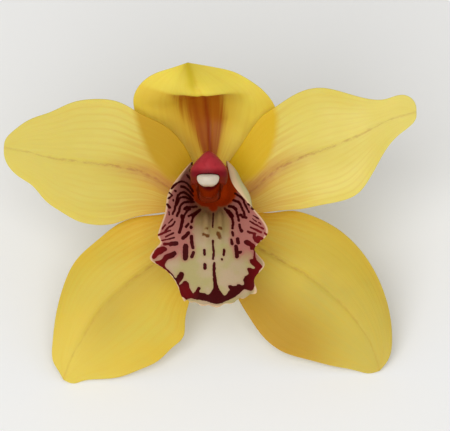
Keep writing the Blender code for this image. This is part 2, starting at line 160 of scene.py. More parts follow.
class Finish:
    """A material built up coat by coat over a ground colour, and then its shader."""

    def __init__(self, name, ground):
        self.material = bpy.data.materials.new(name)
        self.material.use_nodes = True
        self.tree = self.material.node_tree
        self.shader = self.tree.nodes["Principled BSDF"]
        self.tone = ground

    def plug(self, socket, given):
        """A socket takes a link, the name of one of the piece's own values, a colour or a number."""
        if isinstance(given, str):
            node = self.tree.nodes.new("ShaderNodeAttribute")
            node.attribute_name = given
            given = node.outputs["Fac"]
        if isinstance(given, bpy.types.NodeSocket):
            self.tree.links.new(given, socket)
        elif socket.type == "RGBA":
            socket.default_value = (*given, 1.0)
        else:
            socket.default_value = given

    def node(self, kind, given, **settings):
        """A node of the kind, with its settings, and its first sockets plugged in turn."""
        node = self.tree.nodes.new("ShaderNode" + kind)
        for setting, value in settings.items():
            setattr(node, setting, value)
        for socket, value in given.items():
            self.plug(node.inputs[socket], value)
        return node

    def times(self, first, second):
        """Product of two values."""
        return self.node("Math", {0: first, 1: second}, operation="MULTIPLY").outputs[0]

    def plus(self, first, second):
        """Sum of two values."""
        return self.node("Math", {0: first, 1: second}, operation="ADD").outputs[0]

    def ramp(self, source, low, high, out_low=0.0, out_high=1.0):
        """Soft step of a value: out_low at low, out_high at high."""
        given = dict(enumerate((source, low, high, out_low, out_high)))
        return self.node("MapRange", given, interpolation_type="SMOOTHSTEP").outputs[0]

    def noise(self, scale, detail=2.0, stretch=None, rough=0.5):
        """Noise over the object's own space or, with a stretch, over the piece's map."""
        place = self.tree.nodes.new("ShaderNodeTexCoord")
        where = place.outputs["Object"]
        if stretch:
            given = {"Vector": place.outputs["UV"], "Scale": (*stretch, 1.0)}
            where = self.node("Mapping", given).outputs[0]
        given = {"Vector": where, "Scale": scale, "Detail": detail, "Roughness": rough}
        return self.node("TexNoise", given).outputs["Fac"]

    def blend(self, share, first, second):
        """Colour between first and second, by share."""
        return self.node("Mix", {0: share, 6: first, 7: second}, data_type="RGBA").outputs[2]

    def coat(self, share, colour):
        """Lays a colour over the tone so far, by share."""
        self.tone = self.blend(share, self.tone, colour)

    def skin(self, relief, gloss, depth, glow, glow_reach, shine=0.2):
        """Sets the shader: waxy, moist plant skin with fine relief that lets some light through.

        The gloss is the roughness at the bottom of the relief and at its top.
        """
        bump = self.node("Bump", {"Strength": 1.0, "Distance": depth, "Height": relief})
        roughness = self.ramp(relief, 0.3, 0.7, *gloss)
        for socket, given in (("Normal", bump.outputs[0]), ("Base Color", self.tone),
                              ("Roughness", roughness), ("Specular IOR Level", shine),
                              ("Subsurface Weight", glow), ("Subsurface Radius", glow_reach),
                              ("Subsurface Scale", MM)):
            self.plug(self.shader.inputs[socket], given)
        return self.material


def stalk_ring(share, angle):
    """Round ring of the profile's radius, with soft ribs that turn slowly round the ovary."""
    knots = np.array(STALK_RADII)
    radius = np.interp(share, knots[:, 0], knots[:, 1])
    on_ovary = np.clip((share - 0.12) / 0.08, 0, 1) * np.clip((0.95 - share) / 0.5, 0, 1)
    rib = np.cos(RIB_COUNT * angle + RIB_TWIST * share * 2 * np.pi)
    radius = radius + RIB_HEIGHT * on_ovary * (rib - 0.3 * rib ** 2)
    return radius * np.cos(angle), radius * np.sin(angle)


stalk_rows = np.unique(np.concatenate([np.linspace(0.0, 0.14, 60), np.linspace(0.14, 0.97, 130),
                                       np.linspace(0.97, 1.0, 30)]))
points, triangles, share, angle = tube(STALK_AXIS, stalk_rows, STALK_SIDES, stalk_ring)
stalk = Finish("stalk_skin", STALK_YELLOW)
flecks = stalk.noise(520.0, 3.0)
stalk.coat(stalk.ramp("share", 0.05, 0.3), STALK_GREEN)
stalk.coat(stalk.ramp(flecks, 0.52, 0.68, 0.0, 0.35), STALK_FLUSH)
# Rust and painted shade: the stalk's top, deep in the seat, is painted a darker rust.
stalk.coat(stalk.ramp("share", 0.094, 0.086), SEAT_RUST_AND_SHADE)
stalk.coat(stalk.ramp("share", 0.997, 0.9985), CUT_FLESH)
stalk_skin = stalk.skin(flecks, (0.42, 0.55), 0.00012, 0.1, (0.8, 0.6, 0.2), 0.05)
add_piece("stalk_with_ovary", "pedicel", points, triangles, {"share": share},
          angle / (2 * np.pi), share, stalk_skin)

# Lateral sepals: the two lower outer leaves of the flower, thick and waxy, folded slightly
# along the midrib. Each grows from the stalk's seat and ends in a small point that the bloom
# rests on. A leaf's rails are its first margin, its midrib and its second margin.
LEAF_ROWS, LEAF_COLUMNS = 250, 100
LEAF_THICK, RIM_THICK, RIM_WIDTH = 0.85, 0.4, 4.0
CHANNEL_DEPTH, CHANNEL_WIDTH, KEEL_DEPTH, KEEL_WIDTH = 0.32, 0.55, 0.30, 0.8
VEINS, VEIN_DEPTH = 9, 0.035
LATERAL_LEFT = (
    ((-3.5, -1.3, -1.6), (-7.7, -3.2, -1.9), (-12.3, -4.8, -2.2), (-18.4, -5.5, -2.6), (-23.7, -7.2, -3),
     (-29.6, -11.5, -3.4), (-35.7, -17.3, -3.6), (-38.9, -24, -3.6), (-40.8, -31.7, -3.8),
     (-41.7, -39.2, -4.2), (-41.5, -44.5, -4.8), (-40.1, -46.9, -5), (-38.9, -49.1, -5)),
    ((-2.9, -2.8, -1.5), (-6.7, -8.8, -1.2), (-11.5, -15.5, -0.8), (-17.1, -19.7, -0.5),
     (-23.7, -25.1, -0.5), (-29.9, -31.7, -0.9), (-34.4, -38.9, -2), (-37.6, -45.3, -3.8),
     (-38.9, -49.1, -5)),
    ((-1.6, -3.7, -1.6), (-1.9, -11.7, -2), (-3.2, -20.3, -2.8), (-5.1, -28, -3.6), (-6.4, -33.6, -4),
     (-6.9, -37.6, -4.2), (-9.6, -40.3, -4.4), (-13.6, -44, -4.6), (-18.4, -46.3, -4.8), (-23.7, -48.3, -5),
     (-29.9, -49, -5.2), (-33.9, -49.5, -5.3), (-36, -50.1, -5.3), (-38.9, -49.1, -5)))
LATERAL_RIGHT = (
    ((3.6, -1.3, -1.6), (8.3, -2.9, -1.9), (13.1, -4.3, -2.2), (17.6, -4.3, -2.5), (22.1, -3.9, -2.8),
     (27.5, -5.3, -3.2), (34.1, -8.7, -3.5), (40.8, -14.8, -3.7), (45.3, -22.1, -3.8), (48, -29.9, -4),
     (48.9, -37.9, -4.4), (47.9, -43.7, -4.9), (45.6, -46.7, -5.2)),
    ((2.9, -2.8, -1.5), (7.7, -9.1, -1.2), (14.1, -14.1, -0.8), (20.3, -17.7, -0.5), (27.5, -22.1, -0.5),
     (34.9, -28.3, -1), (40.5, -34.9, -2.2), (44, -41.3, -4), (45.6, -46.7, -5.2)),
    ((1.6, -3.7, -1.6), (2.9, -11.7, -2), (5.1, -19.7, -2.8), (7.5, -26.9, -3.6), (10.7, -32.5, -4.2),
     (14.7, -37.9, -4.6), (19.7, -41.6, -4.8), (26.4, -43.7, -5), (33.6, -45.5, -5.2), (39.5, -46.7, -5.3),
     (42.9, -47.4, -5.4), (45.6, -46.7, -5.2)))
# The right sepal's body, middle, tip and strip colours are a darker copy of the left's, as painted shade.
PALE_YELLOW, OLIVE_YELLOW, GOLD = (0.68, 0.50, 0.055), (0.64, 0.50, 0.065), (0.70, 0.46, 0.04)
SHADED_YELLOW, SHADED_OLIVE, GOLD_STRIP_SHADE = (0.60, 0.45, 0.055), (0.54, 0.42, 0.06), (0.50, 0.33, 0.035)
DEEP_GOLD, RIB_BROWN, BACK_YELLOW = (0.68, 0.36, 0.012), (0.46, 0.24, 0.03), (0.74, 0.60, 0.12)
DEEP_STRIP_SHADE, TIP_YELLOW, SHADED_TIP_OLIVE = (0.46, 0.25, 0.015), (0.73, 0.58, 0.10), (0.58, 0.46, 0.085)
# Places of the strip of painted shade beside the midrib, as distances from it: close beside it, or over the
# whole inner half.
NEAR_RIB, NEAR_MARGIN = (-2.5, 0.8, 0.8, 11.0), (2.0, 13.0, 40.0, 50.0)


def grid_lines(rows, columns, crowd=0.75):
    """Even rows from 0 to 1, and columns from -1 to 1 that crowd together at both margins."""
    even = np.linspace(-1, 1, columns)
    across = crowd * np.sin(even * np.pi / 2) + (1 - crowd) * even
    return np.meshgrid(across, np.linspace(0, 1, rows))


def face_normals(middle):
    """Unit normal at each point of a grid of points, from its differences both ways."""
    normal = np.cross(np.gradient(middle, axis=1), np.gradient(middle, axis=0))
    size = np.linalg.norm(normal, axis=-1, keepdims=True)
    normal = normal / np.maximum(size, 1e-9)
    normal[-1] = normal[-2]
    return normal * np.sign(normal[..., 2].mean())


def thin_shell(middle, normal, front, back):
    """Closed leaf over a grid: two faces that stand off the middle sheet and share its rim.

    Returns the points, the triangles, and a function that lists a pair of grids, one for each
    face, in the order of the points.
    """
    rows, columns = front.shape
    inside = np.zeros((rows, columns), bool)
    inside[1:-1, 1:-1] = True
    front_number = np.arange(rows * columns).reshape(rows, columns)
    back_number = front_number.copy()
    back_number[inside] = rows * columns + np.arange(inside.sum())

    def both(on_front, on_back):
        return np.concatenate([on_front.reshape(rows * columns, -1),
                               on_back[inside].reshape(inside.sum(), -1)])

    points = both(middle + normal * front[..., None], middle - normal * back[..., None])
    tip = np.abs(middle[-1] - middle[-1, :1]).max() < 1e-6
    triangles = []
    for number, way in ((front_number, 1), (back_number, -1)):
        if tip:
            number = number.copy()
            number[-1] = front_number[-1, 0]
        a, b, c, d = number[:-1, :-1], number[:-1, 1:], number[1:, 1:], number[1:, :-1]
        for corners in ((a, b, c), (a, c, d)):
            triangles.append(np.stack(corners, -1).reshape(-1, 3)[:, ::way])
    triangles = np.concatenate(triangles)
    whole = (triangles != np.roll(triangles, 1, axis=1)).all(axis=1)
    used, triangles = np.unique(triangles[whole], return_inverse=True)
    triangles = triangles.reshape(-1, 3)
    return points[used], triangles, lambda on_front, on_back: both(on_front, on_back)[used][:, 0]


def through_rails(rails, across, along):
    """Parabola across, from margin over midrib to margin, carried along the three rails."""
    first, rib, second = (smooth_line(rail, along[:, 0])[:, None] for rail in rails)
    u = across[..., None]
    return rib + u * (second - first) / 2 + u ** 2 * ((first + second) / 2 - rib)


def build_leaf(node, sheet, lines, seed, material, waviness=0.55, rows=LEAF_ROWS, stains_and_shade=None):
    """Leaf over a middle sheet, laid over its lines for a grid of shares across and along.

    It has a channel along the midrib in front and a keel behind, fine grooves over the veins,
    a few slow waves towards the margins, and a rounded rim that is thinner than the middle.
    The stains_and_shade give named values for its front, real marks and painted shade alike, from the places
    x and y of the face-on drawing.
    """
    across, along = grid_lines(rows, LEAF_COLUMNS)
    middle = sheet(lines, across, along)
    half_width = np.linalg.norm(middle[:, -1:] - middle[:, :1], axis=-1) / 2
    from_rib = np.abs(across) * half_width
    length = np.linalg.norm(np.diff(middle[:, LEAF_COLUMNS // 2], axis=0), axis=1).sum()
    from_rim = np.minimum((1 - np.abs(across)) * half_width, along * length)
    from_rim = np.minimum(from_rim, (1 - along) * length)
    phase = np.random.default_rng(seed).uniform(0, 2 * np.pi, 4)
    wave = (0.5 * np.sin(2 * np.pi * 1.6 * along + phase[0] + across) * across ** 2
            + 0.25 * np.sin(2 * np.pi * 3.1 * along + phase[1] - 2 * across) * across ** 4
            + 0.12 * np.sin(2 * np.pi * (1.3 * across + 2.2 * along) + phase[2]))
    calm = np.clip(from_rim, 0, 1) * 0.3 + 0.7 * np.sin(np.pi * np.clip(along * 1.02, 0, 1)) ** 0.7
    normal = face_normals(middle)
    middle = middle + normal * (waviness * wave * calm)[..., None]
    thickness = RIM_THICK + (LEAF_THICK - RIM_THICK) * (1 - np.exp(-from_rim / RIM_WIDTH))
    rounding = np.sqrt(1 - (1 - np.clip(from_rim / (RIM_THICK * 0.6), 0, 1)) ** 2)
    half = thickness * rounding / 2
    fade = np.clip(from_rim / 1.5, 0, 1) * np.clip((1.02 - along) * 2.2, 0, 1)
    channel = CHANNEL_DEPTH * np.exp(-(from_rib / CHANNEL_WIDTH) ** 2) * fade
    keel = KEEL_DEPTH * np.exp(-(from_rib / KEEL_WIDTH) ** 2) * fade
    vein = np.abs(np.cos(np.pi * VEINS * across)) ** 12 * fade
    front = half - (channel + vein * VEIN_DEPTH) * rounding
    back = half + (keel + vein * VEIN_DEPTH) * rounding
    points, triangles, listed = thin_shell(middle, normal, front, back)
    none = np.zeros_like(across)
    on_both = {"from_rib": from_rib, "from_rim": from_rim, "beside": across * half_width,
               "reach": along, "vein": vein}
    on_front = {"in_front": none + 1}
    if stains_and_shade:
        on_front.update(stains_and_shade(middle[..., 0], middle[..., 1], along))
    values = {title: listed(value, value) for title, value in on_both.items()}
    values.update({title: listed(value, none) for title, value in on_front.items()})
    add_piece(node + "_leaf", node, points, triangles, values, listed(across, across) / 2 + 0.5,
              listed(along, along), material)


def leaf_skin(name, body, pale, deep, deep_reach, rim_colour, tip_colour, shade_strip_colour, shade_strip_strength,
              shade_strip_place, rib_colour, rib_reach):
    """Waxy leaf skin: a pale middle, deeper margins and seat, fine veins and a stained midrib.

    The strip is painted shade: a darker band on one side of the midrib, where the fold turns that half from
    the light, and it fades out before the paler tip.
    Its place is four distances from the midrib: where it begins, is full, wanes and ends.
    Returns the finish, which may take further coats, and its relief.
    """
    leaf = Finish(name, body)
    clouds = leaf.noise(60.0, 3.0)
    streaks = leaf.noise(1.0, 3.0, (34.0, 1.7), 0.55)
    fine = leaf.noise(1.0, 2.0, (130.0, 9.0))
    dashes = leaf.noise(1.0, 4.0, (26.0, 22.0), 0.7)
    cells = leaf.noise(3400.0, 2.0)
    leaf.coat(leaf.ramp(clouds, 0.38, 0.64), pale)
    inward = leaf.plus("from_rim", leaf.ramp(clouds, 0.3, 0.7, -1.6, 1.6))
    leaf.coat(leaf.ramp(inward, 6.0, -0.5, 0.0, 0.35), rim_colour)
    leaf.coat(leaf.ramp("reach", 0.6, 0.95, 0.0, 0.8), tip_colour)
    near_seat = leaf.plus("reach", leaf.ramp(streaks, 0.3, 0.7, -0.07, 0.07))
    leaf.coat(leaf.ramp(near_seat, 0.0, deep_reach, 0.9, 0.0), deep)
    leaf.coat(leaf.ramp(streaks, 0.48, 0.74, 0.0, 0.20), rim_colour)
    leaf.coat(leaf.times("vein", leaf.ramp(clouds, 0.35, 0.6, 0.06, 0.18)), deep)
    # Painted shade: a darker strip beside the midrib, on the front only.
    begins, full, wanes, ends = shade_strip_place
    strip = leaf.times(leaf.ramp("beside", begins, full), leaf.ramp("beside", ends, wanes, 0.0, shade_strip_strength))
    strip = leaf.times(strip, leaf.ramp("reach", 0.95, 0.6))
    leaf.coat(leaf.times(strip, "in_front"), shade_strip_colour)
    leaf.coat(leaf.ramp(fine, 0.5, 0.8, 0.0, 0.10), deep)
    broken = leaf.times(leaf.ramp(dashes, 0.38, 0.58, 0.25, 1.0), "in_front")
    from_rib = leaf.plus("from_rib", leaf.ramp(dashes, 0.3, 0.7, 0.2, -0.2))
    line = leaf.times(leaf.ramp(from_rib, 0.5, 0.0), leaf.ramp("reach", rib_reach, 0.15, 0.25, 0.7))
    leaf.coat(leaf.times(line, broken), rib_colour)
    blush = leaf.times(leaf.ramp(from_rib, 2.6, 0.1, 0.0, 0.45), leaf.ramp(near_seat, 0.52, 0.14))
    leaf.coat(leaf.times(blush, broken), rib_colour)
    leaf.coat(leaf.ramp("in_front", 0.6, 0.4, 0.0, 0.4), BACK_YELLOW)
    return leaf, leaf.plus(leaf.times(fine, 0.7), leaf.times(cells, 0.3))


def waxy_skin(leaf, relief):
    """Shader of a leaf: softly glossy, and lit through a little where it is thin."""
    return leaf.skin(relief, (0.42, 0.54), 0.00005, 0.35, (1.4, 0.8, 0.15))


sepal_skin = waxy_skin(*leaf_skin("sepal_skin", PALE_YELLOW, OLIVE_YELLOW, DEEP_GOLD, 0.52, GOLD,
                                  TIP_YELLOW, GOLD_STRIP_SHADE, 0.5, NEAR_RIB, RIB_BROWN, 0.75))
# Painted shade: the right sepal takes a darker copy of the left's skin, with a broad strip of painted shade
# over its inner half.
shaded_copy_skin = waxy_skin(*leaf_skin("shaded_sepal_skin", SHADED_YELLOW, SHADED_OLIVE, DEEP_GOLD, 0.42, GOLD,
                                   SHADED_TIP_OLIVE, DEEP_STRIP_SHADE, 0.8, NEAR_MARGIN, RIB_BROWN, 0.75))
build_leaf("lateral_sepal_left", through_rails, LATERAL_LEFT, 3, sepal_skin)
build_leaf("lateral_sepal_right", through_rails, LATERAL_RIGHT, 5, shaded_copy_skin)

# Dorsal sepal: the top outer leaf. It stands up behind the column, arches forward to a crest
# and turns its tip up again, so its inside is a deep hood with brown-red veins. Its net is five
# lines from the seat to the tip, of like stations, from margin over midrib to margin.
HOOD_ROWS = 300
HOOD_LINES = (
    ((-1.9, 3.2, -1.6), (-6.5, 2.9, -1.4), (-11.2, 4.6, -0.9), (-14.6, 8.9, 0.2), (-16.9, 13.3, 1.2),
     (-18.6, 17.9, 2.2), (-19.8, 22.6, 3.6), (-20.1, 26, 5.6), (-18.9, 28.9, 8.2), (-16.6, 31.2, 10.8),
     (-13.6, 32.8, 13.2), (-10, 33.9, 15), (-5.7, 35.3, 16.6)),
    ((-1, 3.5, -1.6), (-2.8, 6.4, -1.9), (-5.2, 10.6, -2.2), (-7, 14.6, -2), (-8.2, 18.4, -1.2),
     (-9, 21.7, 0.6), (-9.3, 24.4, 3.2), (-9.3, 26, 6.8), (-9.1, 27, 10.4), (-8.9, 28, 13.4),
     (-8.3, 29.9, 15.8), (-7.3, 32.4, 16.7), (-5.7, 35.3, 16.6)),
    ((0, 3.7, -1.6), (0.1, 7.6, -2.2), (0.2, 12.4, -3.4), (0.3, 16.8, -3.9), (0.4, 20.8, -3.3),
     (0.4, 24, -0.8), (0.4, 27, 3.4), (0.2, 28.3, 9), (-0.6, 27.9, 14.2), (-1.8, 26.7, 18),
     (-2.9, 28.4, 19.6), (-4.2, 31.6, 18.8), (-5.7, 35.3, 16.6)),
    ((1, 3.5, -1.6), (2.9, 6.4, -1.9), (5.4, 10.4, -2.2), (7.2, 14.2, -2), (8.3, 17.9, -1.2),
     (9.1, 20.8, 1), (9.6, 23.2, 3.2), (9.7, 25.3, 5.8), (9, 27, 8.8), (7.6, 28.5, 12), (4.8, 30.4, 15),
     (0.8, 32.6, 16.6), (-5.7, 35.3, 16.6)),
    ((1.9, 3.2, -1.6), (6.9, 2.9, -1.4), (11.4, 4.3, -0.9), (14.6, 7.6, 0.2), (16.6, 11.5, 1),
     (17.9, 16.2, 1.9), (18.2, 20.9, 3.3), (17.2, 24.6, 5.4), (14.8, 27.6, 8), (11.8, 30, 10.8),
     (7.6, 32.5, 13.4), (2.6, 33.9, 15.4), (-5.7, 35.3, 16.6)))
# The gold is painted shade on the hood's side walls; the brown is the inside's flush, darkened as painted
# shade under the crest.
HOOD_YELLOW, HOOD_GOLD_SHADE, HOOD_OLIVE = (0.80, 0.645, 0.085), (0.60, 0.31, 0.003), (0.54, 0.40, 0.003)
HOOD_FLUSH_AND_SHADE, HOOD_RED = (0.39, 0.103, 0.002), (0.27, 0.030, 0.001)
HOOD_VEINS = ((-1.0, 0.6, 0.7, 1.0), (-4.2, -0.6, 0.5, 0.45), (3.9, 1.6, 0.5, 0.35))
CREST_REACH = 0.72

hood, relief = leaf_skin("dorsal_sepal_skin", HOOD_YELLOW, HOOD_YELLOW, GOLD, 0.3, GOLD, HOOD_YELLOW,
                         GOLD, 0.1, NEAR_RIB, DEEP_GOLD, 1.0)
streaks = hood.noise(1.0, 3.0, (42.0, 1.4), 0.55)
# Painted shade: golden shade on the hood's side walls, stronger on the left one.
hood.coat(hood.times("shade", hood.ramp(streaks, 0.3, 0.7, 0.8, 1.0)), HOOD_GOLD_SHADE)
hood.coat("ridge", HOOD_OLIVE)
# Flush and painted shade: the brown wedge under the crest.
frayed = hood.times("wedge", hood.ramp(streaks, 0.35, 0.65, 0.75, 1.25))
hood.coat(hood.ramp(frayed, 0.15, 0.85, 0.0, 0.95), HOOD_FLUSH_AND_SHADE)
hood.coat(hood.times("red_vein", 0.85), HOOD_RED)
# Rust and painted shade at the hood's seat.
hood.coat("seat", SEAT_RUST_AND_SHADE)


def seat_rust_and_shade(x, y):
    """Mask of a leaf's seat: 1 within about 5 mm of the flower's middle, and 0 beyond. Where it is 1, the
    leaf takes the throat's rust painted darker, as shade deep between the bases.
    """
    return np.clip((5.0 - np.hypot(x, y - 0.5)) / 0.6, 0, 1)


def hood_marks_and_shade(x, y, along):
    """Brown wedge under the crest, part flush and part painted shade; red veins down it; painted golden
    shade beside it, stronger on the left; olive ridge above.

    The wedge and the shade narrow in a straight line from the crest down to the seat. A vein is
    its places at the crest and at the seat, its half width and its strength.
    """
    inside = np.clip((CREST_REACH - along) / 0.05, 0, 1)
    inside = inside ** 2 * (3 - 2 * inside)
    height = np.clip(y - 8, 0, 19)
    centre = 0.8 - 0.08 * height
    on_left = x < centre
    away = np.abs(x - centre)
    right_half = 0.8 + 0.27 * height - 0.3 * np.clip(height - 13, 0, 6)
    wedge = np.clip(1.55 - away / np.where(on_left, 0.9 + 0.37 * height, right_half), 0, 1)
    beside = away / np.where(on_left, 1.8 + 0.66 * height, 1.6 + 0.36 * height)
    shade = np.clip(1.45 - beside, 0, 1) * (0.75 + 0.1 * np.tanh((centre - x) / 3))
    off_ridge = x + 5.7 - 0.24 * (35 - y)
    ridge = 0.5 * np.exp(-off_ridge ** 2) + 0.3 * np.exp(-(off_ridge / 3.0) ** 2)
    vein = np.zeros_like(x)
    for at_crest, at_seat, width, depth in HOOD_VEINS:
        line = at_crest + (at_seat - at_crest) * np.clip((26 - y) / 16, 0, 1)
        vein = np.maximum(vein, depth * np.exp(-((x - line) / width) ** 2))
    return {"wedge": wedge * inside, "shade": shade * inside, "seat": seat_rust_and_shade(x, y),
            "ridge": ridge * (1 - inside) * np.clip((y - 25) / 4, 0, 1),
            "red_vein": vein * inside * np.clip((y - 5) / 6, 0, 1)}


def through_net(lines, across, along):
    """Smooth sheet through a net of lines that have the same stations, free of kinks both ways."""
    net = np.array(lines)
    side_weights = smooth_line(np.eye(len(net)), across[0] / 2 + 0.5)
    station_weights = smooth_line(np.eye(len(net[0])), along[:, 0])
    return np.einsum("nl,ms,lsk->mnk", side_weights, station_weights, net)


build_leaf("dorsal_sepal", through_net, HOOD_LINES, 8, waxy_skin(hood, relief), 0.25,
           HOOD_ROWS, hood_marks_and_shade)

# Petals: the two inner leaves at the sides, a paler yellow, in front of the sepals. Each has a
# thin pink-brown line along its midrib and lies clear of the hood behind it.
PETAL_LEFT = (
    ((-3, 2.6, 0.45), (-3.9, 7.5, 2.2), (-6.7, 13.7, 4.4), (-11.7, 18.7, 6.4), (-17.6, 21.6, 7.4),
     (-24.3, 25.1, 7), (-30.4, 25.8, 5.7), (-36.5, 24.9, 4.4), (-42.4, 22.3, 3.4), (-47.5, 20.5, 2.6),
     (-52, 17.5, 1.8), (-54.4, 14.7, 1.2), (-54.7, 12.9, 1)),
    ((-3.6, 0.2, 0.2), (-8.8, 1.3, 1), (-13.6, 4.4, 1.9), (-21.1, 7.3, 3), (-30.4, 8.7, 3.8),
     (-41.1, 10.1, 3.6), (-49.9, 12.1, 2.2), (-54.7, 12.9, 1)),
    ((-3.3, -1.9, 0.2), (-7.7, -3.5, 0.7), (-13.1, -4.5, 0.9), (-19.7, -5.6, 0.9), (-25.9, -7.5, 1),
     (-30.4, -7.7, 1.4), (-34.9, -6.7, 1.8), (-39.7, -4, 2.1), (-43.7, -1.1, 2.1), (-47.2, 2.8, 1.9),
     (-50.4, 4.9, 1.5), (-53.3, 7.7, 1.2), (-54.6, 10.7, 1), (-54.7, 12.9, 1)))
PETAL_RIGHT = (
    ((3, 2.6, 0.45), (4.5, 7.5, 2.2), (7.2, 11.7, 4), (10.9, 17.3, 6.2), (14.4, 21.5, 7.4),
     (17.6, 23.7, 7.4), (22.4, 26.8, 6.6), (29.1, 28.8, 5.3), (36.3, 27.5, 4.4), (42.4, 25.9, 4),
     (46.9, 25.8, 4), (50.7, 26.9, 3.8), (53.3, 26.5, 3), (55.1, 24.3, 2.2), (55.3, 22.4, 2)),
    ((3.6, -0.2, 0.2), (7.7, -0.3, 1), (11.5, 1.6, 1.7), (15.7, 5.3, 2.6), (22.9, 9.6, 3.6),
     (30.9, 12.5, 4.2), (39.7, 16.1, 4.2), (48.3, 20.4, 3.4), (55.3, 22.4, 2)),
    ((3.3, -2, 0.2), (7.7, -3.7, 0.7), (13.1, -4.5, 0.9), (18.9, -3.9, 0.9), (24.3, -3.5, 1.1),
     (29.6, -2.5, 1.5), (35.5, -1.3, 2), (39.5, 0.5, 2.4), (42.7, 4.5, 2.6), (45.1, 8.8, 2.6),
     (47.7, 13.1, 2.4), (50.9, 16.5, 2), (53.9, 18.9, 1.8), (55.2, 20.8, 1.8), (55.3, 22.4, 2)))
# The left petal's yellows are painted darker, as shade, and the right's brighter, as light, since the right
# petal faces the light more.
PETAL_SHADED_YELLOW, PETAL_SHADED_PALE, PETAL_RIM = (0.64, 0.53, 0.10), (0.66, 0.56, 0.12), (0.70, 0.56, 0.09)
PETAL_LIT_YELLOW, PETAL_LIT_PALE, PETAL_STRIP_SHADE = (0.71, 0.60, 0.13), (0.76, 0.65, 0.17), (0.62, 0.48, 0.08)
PETAL_DEEP, PETAL_RIB, PETAL_BLUSH = (0.57, 0.25, 0.010), (0.40, 0.17, 0.05), (0.50, 0.20, 0.05)
# Painted shade where the hood lies behind a petal, darker on the left.
HOOD_SHADE_LEFT, HOOD_SHADE_RIGHT = (0.50, 0.29, 0.003), (0.66, 0.42, 0.004)


def painted_hood_shade(side):
    """Patch of painted shade on a petal inside the line of the hood's margin behind it, where two layers let
    less light through, and its seat.
    """
    margin = np.array(HOOD_LINES[0 if side < 0 else -1])[:8]

    def patch(x, y, along):
        edge = side * np.interp(y, margin[:, 1], margin[:, 0])
        return {"patch": np.clip((edge - side * x) / 1.8 + 0.5, 0, 1) * np.clip((y - 2) / 4, 0, 1),
                "seat": seat_rust_and_shade(x, y)}

    return patch


# Painted light and shade: the left petal takes darker colours, the right one brighter.
for side, rails, seed, pale, body, behind_shade in ((-1, PETAL_LEFT, 11, PETAL_SHADED_PALE, PETAL_SHADED_YELLOW, HOOD_SHADE_LEFT),
                                               (1, PETAL_RIGHT, 14, PETAL_LIT_PALE, PETAL_LIT_YELLOW, HOOD_SHADE_RIGHT)):
    title = "petal_left" if side < 0 else "petal_right"
    petal, relief = leaf_skin(title + "_skin", body, pale, PETAL_DEEP, 0.50, PETAL_RIM, pale,
                              PETAL_STRIP_SHADE, 0.2, NEAR_RIB, PETAL_RIB, 0.98)
    blush = petal.times(petal.ramp("from_rib", 3.8, 0.2, 0.0, 0.5), petal.ramp("reach", 0.62, 0.2))
    petal.coat(petal.times(blush, "in_front"), PETAL_BLUSH)
    # Painted shade: the petal darkens where the hood lies behind it.
    petal.coat(petal.times("patch", 0.9), behind_shade)
    # Rust and painted shade at the petal's seat.
    petal.coat("seat", SEAT_RUST_AND_SHADE)
    build_leaf(title, through_rails, rails, seed, waxy_skin(petal, relief), 0.4,
               stains_and_shade=painted_hood_shade(side))

